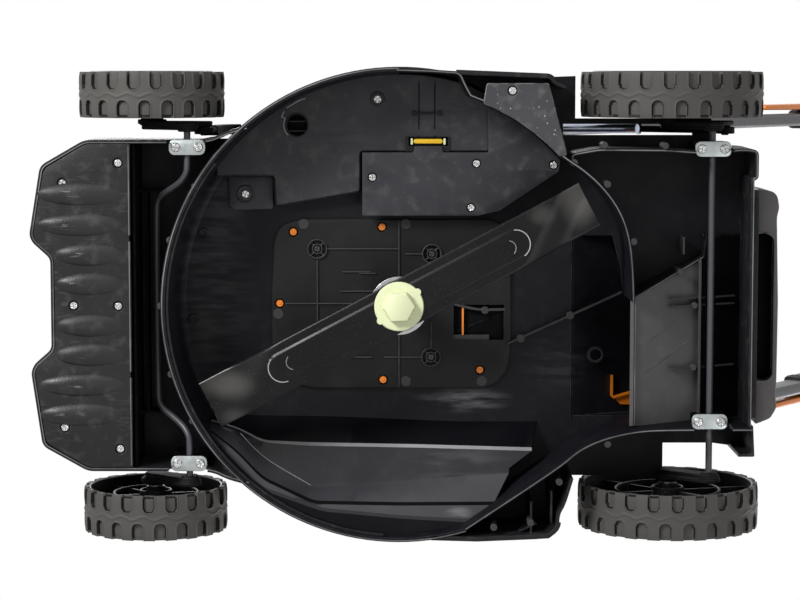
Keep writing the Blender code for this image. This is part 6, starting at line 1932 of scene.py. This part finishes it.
        pivot = (25.0, rise - 20.0)
        pin = (39.0, rise)
        swing = math.atan2(self.crank[1], self.crank[0])
        lean = (math.sin(swing), math.cos(swing))

        def up(length: float) -> Point:
            """A point up the lever from its pivot."""
            return (pivot[0] + lean[0] * length, pivot[1] + lean[1] * length)

        inner, outer = 167.5, 172.5
        lever = Shape()
        lever.slab(hull([(*pivot, 10.0), (*pin, 7.0)]), inner, outer, 0.7)
        lever.slab(hull([(*pivot, 9.0), (*up(102.0), 6.4)]), inner, outer, 0.9)
        lever.slab(hull([(*up(16.0), 3.0), (*up(94.0), 2.4)]), outer - 0.5, outer + 1.2, 0.4)
        lever.pin(3.0, x - 4.5, inner + 1.0, (0.0, *pin), Axis.X)
        lever.pin(9.0, inner - 0.4, outer + 0.8, (0.0, *pivot), Axis.X, 0.6)
        self.make("lever_arm", lever, Skin.HOUSING, body="lever", stands_for=["height_lever"])
        knob = Shape()
        layers = []
        for share, size in ((0.0, 8.0), (0.10, 10.6), (0.28, 12.0), (0.72, 12.0), (0.90, 10.6), (1.0, 8.0)):
            outline = hull([(*up(121.0), size), (*up(143.6), size)])
            layers.append([(inner + 22.0 * share, y, z) for y, z in outline])
        knob.loft(layers)
        for i in range(5):
            y, z = up(116.0 + i * 8.0)
            rib = [(y + way * 8.0 * lean[1], z - way * 8.0 * lean[0], 0.9) for way in (-1, 1)]
            knob.slab(hull(rib, 12), inner + 21.0, inner + 22.0, 0.3)
        self.make("lever_grip", knob, Skin.ORANGE, body="lever", stands_for=["lever_knob"], sharp=50.0)
        self.dress("lever_quadrant", Skin.HOUSING)


@dataclass
class Cowl(Assembly):
    """The top cowl with its vents, the battery's lid and tray, and the hinge between them."""

    half: float = 126.0
    front: float = -190.0
    rear: float = 140.0
    low: float = 108.3
    top: float = 240.0
    hinge: Point = (-48.0, 245.0)
    rows: tuple[tuple[float, float, float, float], ...] = (
        (0.0, 1.0, 1.0, 1.0), (0.24, 0.985, 0.98, 0.99), (0.50, 0.92, 0.89, 0.97), (0.73, 0.80, 0.74, 0.94),
        (0.91, 0.64, 0.55, 0.89), (1.0, 0.50, 0.38, 0.84))

    def ring(self, share: float, inset: float = 0.0, sides: int = 96) -> list[Place]:
        """The cowl's outline at a share of its height.

        Args:
            share: From 0 at its foot to 1 at its top.
            inset: How far the outline is drawn in.
            sides: Points round it.

        Returns:
            The outline.
        """
        wide, ahead, behind = (follow([(row[0], row[k]) for row in self.rows], share) for k in (1, 2, 3))
        half = self.half * wide - inset
        start, end = self.front * ahead + inset, self.rear * behind - inset
        middle, reach = (start + end) / 2, (end - start) / 2
        z = self.low + share * (self.top - self.low)
        points = []
        for angle in turns(sides):
            c, s = math.cos(angle), math.sin(angle)
            points.append((half * math.copysign(abs(c) ** 0.6, c), middle + reach * math.copysign(abs(s) ** 0.6, s), z))
        return points

    def build(self) -> None:
        """Build the cowl, its trims, the lid and the battery's parts."""
        shares = [0.0, 0.02, 0.10, 0.17, 0.24, 0.31, 0.38, 0.44, 0.50, 0.56, 0.62, 0.68, 0.73, 0.78, 0.83, 0.87,
                  0.91, 0.95, 0.98]
        rings = [self.ring(0.0, 4.0), self.ring(0.0, 0.4)] + [self.ring(share, 0.4) for share in shares[1:]]
        rings += [self.ring(0.996, 1.4), self.ring(1.0, 4.0)]
        shell = Shape().loft(rings)
        hollow = Shape().loft([self.ring(share, 3.6) for share in (0.02, 0.24, 0.50, 0.73, 0.91, 0.97)])
        well = Shape().prism(rounded(-48.0, 48.0, -30.0, 90.0, 4.0), self.top - 60.0, self.top + 8.0)
        vents = []
        for side in Side:
            for i in range(7):
                y = -104.0 + i * 13.0
                slot = [(y, 143.0), (y + 5.0, 143.0), (y + 17.0, 190.0), (y + 12.0, 190.0)]
                x0, x1 = side.value * 60.0, side.value * 140.0
                vents.append(Shape().slab(eased(slot, 2.4), x0, x1))
        groove = Shape().strip([(x, y) for x, y, _ in self.ring(0.075, 0.9)],
                               [(-3.0, self.low + 8.0), (0.0, self.low + 8.4), (0.0, self.low + 10.4),
                                (-3.0, self.low + 10.8)], closed=True)
        self.make("cowl_shell", shell, Skin.ORANGE, cuts=[hollow, well, groove, *vents], stands_for=["top_cowl"],
                  sharp=40.0)
        ears = Shape()
        for side in Side:
            outline = hull([(*self.hinge, 4.5), (self.hinge[0], self.top - 1.0, 4.5)])
            ears.slab(outline, side.value * 40.6, side.value * 46.0, 0.8)
        self.make("lid_ears", ears, Skin.ORANGE)
        lining = Shape().loft([self.ring(share, 4.4) for share in (0.03, 0.24, 0.50, 0.73, 0.90)], capped=False)
        self.make("cowl_lining", lining, Skin.HOUSING)
        brow = Shape()
        path = [(x, y, z) for x, y, z in self.ring(0.60, -0.6) if y < -60.0]
        path.sort(key=lambda point: point[0])
        brow.run(path, rounded(-1.6, 1.6, -4.2, 4.2, 1.4, 30.0), across=(0.0, -1.0, 0.0))
        self.make("cowl_band", brow, Skin.HOUSING)

        under, edge = self.top + 0.3, (-59.0, 59.0, -41.0, 112.0)
        layers = []
        for inset, z in ((1.0, under), (0.0, under + 0.8), (0.0, under + 4.6), (1.4, under + 6.6), (5.0, under + 8.2),
                         (12.0, under + 8.9), (26.0, under + 9.0)):
            layers.append((rounded(edge[0] + inset, edge[1] - inset, edge[2] + inset, edge[3] - inset,
                                   max(14.0 - inset * 0.5, 4.0), 10.0), z))
        lid = Shape().stack(layers)
        scoop = Shape().dome((0.0, 96.0), (26.0, 9.0), under + 9.6, under + 5.8)
        self.make("lid_shell", lid, Skin.GUARD, body="lid", cuts=[scoop], stands_for=["battery_cover"], sharp=50.0)
        knuckle = Shape().pin(3.8, -40.0, 40.0, (0.0, *self.hinge), Axis.X, 0.5)
        knuckle.box(-36.0, 36.0, self.hinge[0], edge[2] + 4.0, under + 1.0, under + 4.4)
        for i in range(5):
            x = -24.0 + i * 12.0
            knuckle.prism(ribbon([(x, 20.0), (x, 74.0)], 3.0), under + 8.0, under + 9.0)
        self.make("lid_knuckle", knuckle, Skin.HOUSING, body="lid", bevel=0.4)
        for node, finish in (("lid_hinge_pin", Skin.STEEL), ("battery_tray", Skin.HOUSING),
                             ("battery_pack", Skin.PACK), ("safety_key", Skin.YELLOW)):
            self.dress(node, finish)


@dataclass
class RearFlap(Assembly):
    """The flap over the duct's mouth, its rod, and the orange trim inside the duct."""

    body: str = "flap"
    hinge: Point = (336.5, 184.0)
    front: float = 341.0
    low: float = 104.0
    reach: tuple[float, float] = (-112.4, 59.4)

    def build(self, deck: Deck) -> None:
        """Build the flap and the trim.

        Args:
            deck: The moulding whose duct the trim sits in.
        """
        f = self.front
        plan = [(104.5, f), (101.5, f + 15.0), (97.0, f + 19.0), (86.5, f + 20.8), (77.0, f + 18.6), (-4.0, f + 20.8),
                (-81.0, f + 20.4), (-92.0, f + 19.4), (-106.0, f + 20.8), (-116.0, f + 15.0), (-122.0, f)]
        high = self.hinge[1] - 6.0
        outline = eased(plan, 3.0)
        shell = Shape().plate(outline, self.low, high, 1.2)
        mouth = Shape().prism(rounded(-81.0, 63.0, f - 30.0, f + 17.5, 10.0), self.low - 5, high - 5)
        slopes = [Shape().box(66.0, 97.0, f - 5, f + 14.5, self.low + 2.5, high - 5),
                  Shape().box(-114.0, -84.0, f - 5, f + 14.5, self.low + 2.5, high - 5)]
        self.make("flap_shell", shell, Skin.FLAP, cuts=[mouth, *slopes], stands_for=["rear_flap"])
        # A near-black sheet in the flap's hollow: painted shade.
        shade_sheet = Shape().plate(rounded(-80.6, 62.6, f + 1.0, f + 17.1, 8.0), self.low + 18.0, self.low + 20.0, 0.4)
        self.make("flap_shadow", shade_sheet, Skin.BLACK)
        lip = Shape()
        lip.strip([(62.6, f + 1.0), (62.6, f + 8.0), *arc(9.6, 0.0, 90.0, (53.0, f + 7.6), 15.0),
                   *arc(9.6, 90.0, 180.0, (-71.0, f + 7.6), 15.0), (-80.6, f + 1.0)],
                  [(1.1, self.low - 0.9), (1.1, self.low + 1.0), (-0.9, self.low + 1.0), (-0.9, self.low - 0.9)])
        self.make("flap_lip", lip, Skin.FLAP)
        arms = Shape()
        arms.pin(6.5, *self.reach, (0.0, *self.hinge), Axis.X, 0.6)
        arms.slab(hull([(*self.hinge, 4.0), (f + 5.0, high - 4.0, 4.0)]), *self.reach)
        for i in range(9):
            x = -96.0 + i * 20.0
            arms.box(x - 1.2, x + 1.2, f + 18.8, f + 20.8, self.low + 12.0, high - 12.0)
        self.make("flap_hanger", arms, Skin.FLAP, bevel=0.3)
        self.dress("flap_hinge_rod", Skin.ROD)

        trim = Shape()
        line = [(-76.0, 205.0), (-95.5, 205.0), (-97.5, 207.0), (-94.0, 224.0)]
        trim.prism(ribbon(line, 2.4), lambda x, y: deck.ceiling(x, y) - 4.5, lambda x, y: deck.ceiling(x, y) - 0.3)
        trim.prism([(-98.0, 207.0), (-105.0, 214.0), (-106.0, 224.0), (-95.0, 224.0)],
                   lambda x, y: deck.ceiling(x, y) - 2.0, lambda x, y: deck.ceiling(x, y) - 0.3)
        self.make("duct_mark", trim, Skin.ORANGE, body="deck", stands_for=["duct_trim"])


@dataclass
class Handle(Assembly):
    """The folding, telescopic handle with its clamps, grips, switch box and bail.

    It is drawn in its own plane: x across, s up along the tubes and n square to them.
    """

    body: str = "handlebar"
    foot: Point = (150.0, 215.0)
    lean: float = 54.0
    across: float = 159.0
    tube: Point = (7.0, 15.0)
    lower_long: float = 600.0
    upper_from: float = 490.0
    upper_end: float = 968.0
    bail_at: float = 850.0
    button_n: float = 20.0

    def at(self, x: float, s: float, n: float = 0.0) -> Place:
        """A point of the handle's own plane."""
        c, r = math.cos(math.radians(self.lean)), math.sin(math.radians(self.lean))
        return (x, self.foot[0] + c * s + r * n, self.foot[1] + r * s - c * n)

    def circle(self, radius: float, s: float, sides: int) -> list[Place]:
        """A circle round the start button's axis, at a place up the handle."""
        return [self.at(radius * math.cos(a), s, self.button_n + radius * math.sin(a)) for a in turns(sides)]

    def out(self) -> Place:
        """The direction square to the handle's plane."""
        lean = math.radians(self.lean)
        return (0.0, math.sin(lean), -math.cos(lean))

    def block(self, outline: Sequence[Point], levels: Sequence[tuple[float, float]]) -> Shape:
        """A solid on an outline in (x, s).

        Args:
            outline: The outline, anticlockwise.
            levels: Pairs of (how far it is drawn in, n), in order.

        Returns:
            The shape.
        """
        rings = [[self.at(x, s, n) for x, s in offsets(outline, (inset,), closed=True)[0]] for inset, n in levels]
        return Shape().loft(rings)

    def build(self) -> None:
        """Build the whole handle."""
        for side in Side:
            self.build_side(side)
        self.build_upper()
        self.build_controls()
        self.build_bail()

    def build_side(self, side: Side) -> None:
        """A lower tube with its collar and cam lever.

        Args:
            side: The operator's left or right.
        """
        sign, word = side.value, side.word
        half_w, half_d = self.tube
        x = sign * self.across
        path = [self.at(x, -14.0 + 614.0 * i / 12) for i in range(13)]
        self.make(f"lower_leg_{word}", Shape().run(path, rounded(-half_w, half_w, -half_d, half_d, 4.5)), Skin.TUBE,
                  body="lower_handle", stands_for=[f"lower_tube_{word}"], bevel=0.5, sharp=60.0)
        for node, finish in ((f"handle_bracket_{word}", Skin.HOUSING), (f"pivot_bolt_{word}", Skin.ZINC)):
            self.dress(node, finish)

        top = self.lower_long - 1.0
        hinge = (sign * (self.across + half_w + 3.5 + 4.2), top - 15.0)
        collar = Shape()
        w, d = half_w + 3.5, half_d + 3.5
        layers = []
        for inset, s in ((1.6, top - 44.0), (0.4, top - 43.2), (0.0, top - 42.0), (0.0, top - 2.0), (0.5, top - 0.7),
                         (1.8, top)):
            layers.append([self.at(x + u, s, n) for u, n in rounded(inset - w, w - inset, inset - d, d - inset, 4.0)])
        collar.loft(layers)
        for n in (-12.5, 9.5):
            block = [(sign * (self.across + w - 1.0), hinge[1] - 3.5), (hinge[0] + sign * 3.5, hinge[1] - 3.5),
                     (hinge[0] + sign * 3.5, hinge[1] + 3.5), (sign * (self.across + w - 1.0), hinge[1] + 3.5)]
            collar.loft([[self.at(u, s, m) for u, s in block] for m in (n, n + 3.0)])
        for i in range(3):
            s = top - 38.0 + i * 5.0
            rib = rounded(-w - 0.5, w + 0.5, -d - 0.5, d + 0.5, 4.2)
            collar.loft([[self.at(x + u, s + h, n) for u, n in rib] for h in (0.0, 1.8)])
        self.make(f"collar_{word}", collar, Skin.HOUSING, body="lower_handle", stands_for=[f"clamp_collar_{word}"],
                  sharp=50.0)
        outline = hull([(*hinge, 3.8), (hinge[0] + sign * 0.6, top - 150.0, 3.0)], 24)
        levels = ((1.4, -9.0), (0.4, -8.5), (0.0, -7.4), (0.0, 7.4), (0.4, 8.5), (1.4, 9.0))
        lever = self.block(outline, levels)
        self.make(f"cam_{word}", lever, Skin.ORANGE, body=f"{word}_cam", stands_for=[f"cam_lever_{word}"], sharp=50.0)

    def build_upper(self) -> None:
        """The telescopic hoop and its foam grips."""
        inner_d, inner_w = self.tube[1] - 1.9, self.tube[0] - 1.9
        bend, x = 50.0, self.across
        plan = [(x, self.upper_from + (self.upper_end - bend - self.upper_from) * i / 10) for i in range(10)]
        plan += arc(bend, 0.0, 90.0, (x - bend, self.upper_end - bend), 6.0)
        plan += [(-u, s) for u, s in reversed(plan)]
        hoop = Shape().run([self.at(u, s) for u, s in plan], rounded(-inner_d, inner_d, -inner_w, inner_w, 3.0),
                           self.out())
        self.make("hoop", hoop, Skin.TUBE, stands_for=["upper_handle"], sharp=60.0)
        for side in Side:
            sleeve = Shape()
            d, w = inner_d + 3.0, inner_w + 3.0
            rings = []
            for i in range(34):
                u = 45.5 + 59.5 * i / 33
                swell = 0.9 * abs(math.sin(math.pi * (u - 45.5) / 8.5))
                ease = 1.6 if i in (0, 33) else 0.0
                section = rounded(-d - swell + ease + 0.9, d + swell - ease - 0.9, -w - swell + ease + 0.9,
                                  w + swell - ease - 0.9, 4.6)
                rings.append([self.at(side.value * u, self.upper_end + v, n) for n, v in section])
            sleeve.loft(rings)
            self.make(f"sleeve_{side.word}", sleeve, Skin.FOAM, stands_for=[f"grip_{side.word}"], sharp=60.0)

    def build_controls(self) -> None:
        """The switch box in two halves, with its start button."""
        s0, s1 = self.upper_end - 36.0, self.upper_end + 32.0
        outline = eased([(-45.0, s0 + 6.0), (-30.0, s0), (30.0, s0), (45.0, s0 + 6.0), (45.0, s1 - 5.0), (33.0, s1),
                         (-33.0, s1), (-45.0, s1 - 5.0)], 8.0)
        top = self.block(outline, ((7.0, -17.0), (3.0, -16.2), (1.0, -14.0), (0.0, -10.0), (0.0, -0.3)))
        top.add(self.block(rounded(-24.0, 24.0, s0 + 16.0, s1 - 20.0, 6.0), ((1.0, -17.0), (0.0, -16.6), (0.0, -15.0))))
        self.make("switch_lid", top, Skin.GUARD, stands_for=["switch_box_top"], sharp=50.0)
        low = self.block(outline, ((0.0, 0.3), (0.0, 24.0), (1.5, 28.5), (5.0, 31.2), (9.0, 32.0)))
        hole = Shape().loft([self.circle(8.6, s, 32) for s in (self.upper_end + 17.0, self.upper_end + 40.0)])
        self.make("switch_base", low, Skin.HOUSING, cuts=[hole], stands_for=["switch_box_bottom"], sharp=50.0)
        screws = Shape()
        for x in (-36.0, 36.0):
            ring = [(4.0, 31.4), (4.0, 32.0), (2.6, 32.0), (2.0, 31.0)]
            screws.loft([[self.at(x + r * math.cos(a), s0 + 16.0 + r * math.sin(a), n - 1.5)
                          for a in turns(24)] for r, n in ring])
        self.make("switch_screws", screws, Skin.ZINC)
        start, end = self.upper_end + 22.5, self.upper_end + 36.0
        profile = ((7.9, start), (7.9, end - 1.4), (7.5, end - 0.5), (6.6, end - 0.1), (5.6, end - 0.6),
                   (0.3, end - 1.2))
        button = Shape().loft([self.circle(radius, s, 40) for radius, s in profile])
        self.make("start_cap", button, Skin.ORANGE, body="button", stands_for=["start_button"], sharp=60.0)

    def build_bail(self) -> None:
        """The bail that keeps the motor running while it is held."""
        rise, stand = 105.0, -60.0
        far = math.hypot(rise, stand)
        side_x = self.across - (self.tube[0] - 1.9) - 8.5
        half = [(self.across - 1.0, 0.0), (side_x + 1.5, 0.0), (side_x, 1.5), (side_x, 12.0), (side_x, far - 24.0),
                *arc(14.0, 0.0, 90.0, (side_x - 14.0, far - 14.0), 10.0), (60.0, far)]
        plan = half + [(-x, r) for x, r in reversed(half)]
        path = [self.at(x, self.bail_at + rise * r / far, stand * r / far) for x, r in plan]
        wire = Shape().tube(path, 3.0, 20)
        self.make("bail", wire, Skin.ORANGE, body="bail", stands_for=["bail_lever"], sharp=60.0)


@dataclass
class Studio:
    """Camera, lights, plain surroundings and the floor under the wheels."""

    camera_at: Place = (0.2150, -0.2123, -2.150)
    aim: Place = (0.0055, -0.2114, 0.028)
    lens: float = 106.8
    surround: float = 0.42
    white: tuple[float, ...] = (1.0, 1.0, 1.0, 1.0)
    floor_tone: tuple[float, ...] = (0.82, 0.82, 0.82, 1.0)
    floor_half: float = 6.0
    lamps: tuple[tuple[str, Place, Place, float, float], ...] = (
        ("key", (1.05, -1.35, -1.10), (0.0, -0.15, 0.05), 0.6, 40.0),
        ("fill", (-0.9, 0.9, -1.5), (0.0, -0.15, 0.05), 1.2, 6.0),
        ("overhead", (0.6, -0.7, 2.3), (0.0, 0.0, 0.3), 1.6, 26.0),
        ("rear", (-1.3, 1.5, 1.6), (0.0, 0.0, 0.3), 1.2, 14.0),
    )

    def build(self) -> None:
        """Set up the studio."""
        self.place_camera()
        self.hang_lamps()
        self.light_world()
        self.lay_floor()

    def place_camera(self) -> None:
        """Put the camera below the machine, its picture's top towards the operator's left."""
        data = bpy.data.cameras.new("camera")
        data.lens = self.lens
        data.sensor_width = 36.0
        camera = bpy.data.objects.new("camera", data)
        bpy.context.scene.collection.objects.link(camera)
        back = (Vector(self.camera_at) - Vector(self.aim)).normalized()
        up = Vector((1.0, 0.0, 0.0))
        up = (up - back * up.dot(back)).normalized()
        turn = Matrix((up.cross(back), up, back)).transposed().to_4x4()
        camera.matrix_world = Matrix.Translation(self.camera_at) @ turn
        bpy.context.scene.camera = camera

    def hang_lamps(self) -> None:
        """Hang the soft lamps."""
        for name, place, target, size, watts in self.lamps:
            data = bpy.data.lights.new(name, "AREA")
            data.shape = "DISK"
            data.size = size
            data.energy = watts
            lamp = bpy.data.objects.new(name, data)
            bpy.context.scene.collection.objects.link(lamp)
            lamp.location = place
            way = Vector(target) - Vector(place)
            lamp.rotation_euler = way.to_track_quat("-Z", "Y").to_euler()

    def light_world(self) -> None:
        """White to the camera, to gloss and through glass, and a plain level to everything else."""
        world = bpy.data.worlds.new("surround")
        bpy.context.scene.world = world
        world.use_nodes = True
        nodes, links = world.node_tree.nodes, world.node_tree.links
        plain = nodes["Background"]
        plain.inputs["Color"].default_value = self.white
        plain.inputs["Strength"].default_value = self.surround
        white = nodes.new("ShaderNodeBackground")
        white.inputs["Strength"].default_value = 1.0
        white.inputs["Color"].default_value = self.white
        path, first, second = (nodes.new(kind) for kind in ("ShaderNodeLightPath", "ShaderNodeMath", "ShaderNodeMath"))
        for node in (first, second):
            node.operation = "MAXIMUM"
        links.new(path.outputs["Is Camera Ray"], first.inputs[0])
        links.new(path.outputs["Is Glossy Ray"], first.inputs[1])
        links.new(first.outputs[0], second.inputs[0])
        links.new(path.outputs["Is Transmission Ray"], second.inputs[1])
        mix = nodes.new("ShaderNodeMixShader")
        links.new(second.outputs[0], mix.inputs[0])
        links.new(plain.outputs[0], mix.inputs[1])
        links.new(white.outputs[0], mix.inputs[2])
        links.new(mix.outputs[0], nodes["World Output"].inputs["Surface"])
        bpy.context.scene.view_settings.view_transform = "Standard"

    def lay_floor(self) -> None:
        """A pale floor that is clear from below, so that the machine is seen through it."""
        mesh = bpy.data.meshes.new("floor")
        r = self.floor_half
        mesh.from_pydata([(-r, -r, 0), (r, -r, 0), (r, r, 0), (-r, r, 0)], [], [(0, 1, 2, 3)])
        floor = bpy.data.objects.new("floor", mesh)
        bpy.context.scene.collection.objects.link(floor)
        material = bpy.data.materials.new("floor")
        material.use_nodes = True
        nodes, links = material.node_tree.nodes, material.node_tree.links
        shader = nodes["Principled BSDF"]
        shader.inputs["Base Color"].default_value = self.floor_tone
        shader.inputs["Roughness"].default_value = 0.75
        clear = nodes.new("ShaderNodeBsdfTransparent")
        side = nodes.new("ShaderNodeNewGeometry")
        mix = nodes.new("ShaderNodeMixShader")
        links.new(side.outputs["Backfacing"], mix.inputs[0])
        links.new(shader.outputs[0], mix.inputs[1])
        links.new(clear.outputs[0], mix.inputs[2])
        links.new(mix.outputs[0], nodes["Material Output"].inputs["Surface"])
        mesh.materials.append(material)
        floor.visible_diffuse = False
        floor.visible_glossy = False
        floor.visible_transmission = False
        floor.visible_shadow = False


def main() -> None:
    """Build the mower and its studio."""
    logging.basicConfig(level=logging.INFO, format="%(message)s", stream=sys.stdout)
    deck = Deck()
    deck.build()
    GuardPlate().build(deck)
    CoverPlates().build(deck)
    MotorPanel().build(deck)
    CuttingUnit().build()
    RunningGear().build(deck)
    Cowl().build()
    RearFlap().build(deck)
    Handle().build()
    Studio().build()


if __name__ == "__main__":
    main()
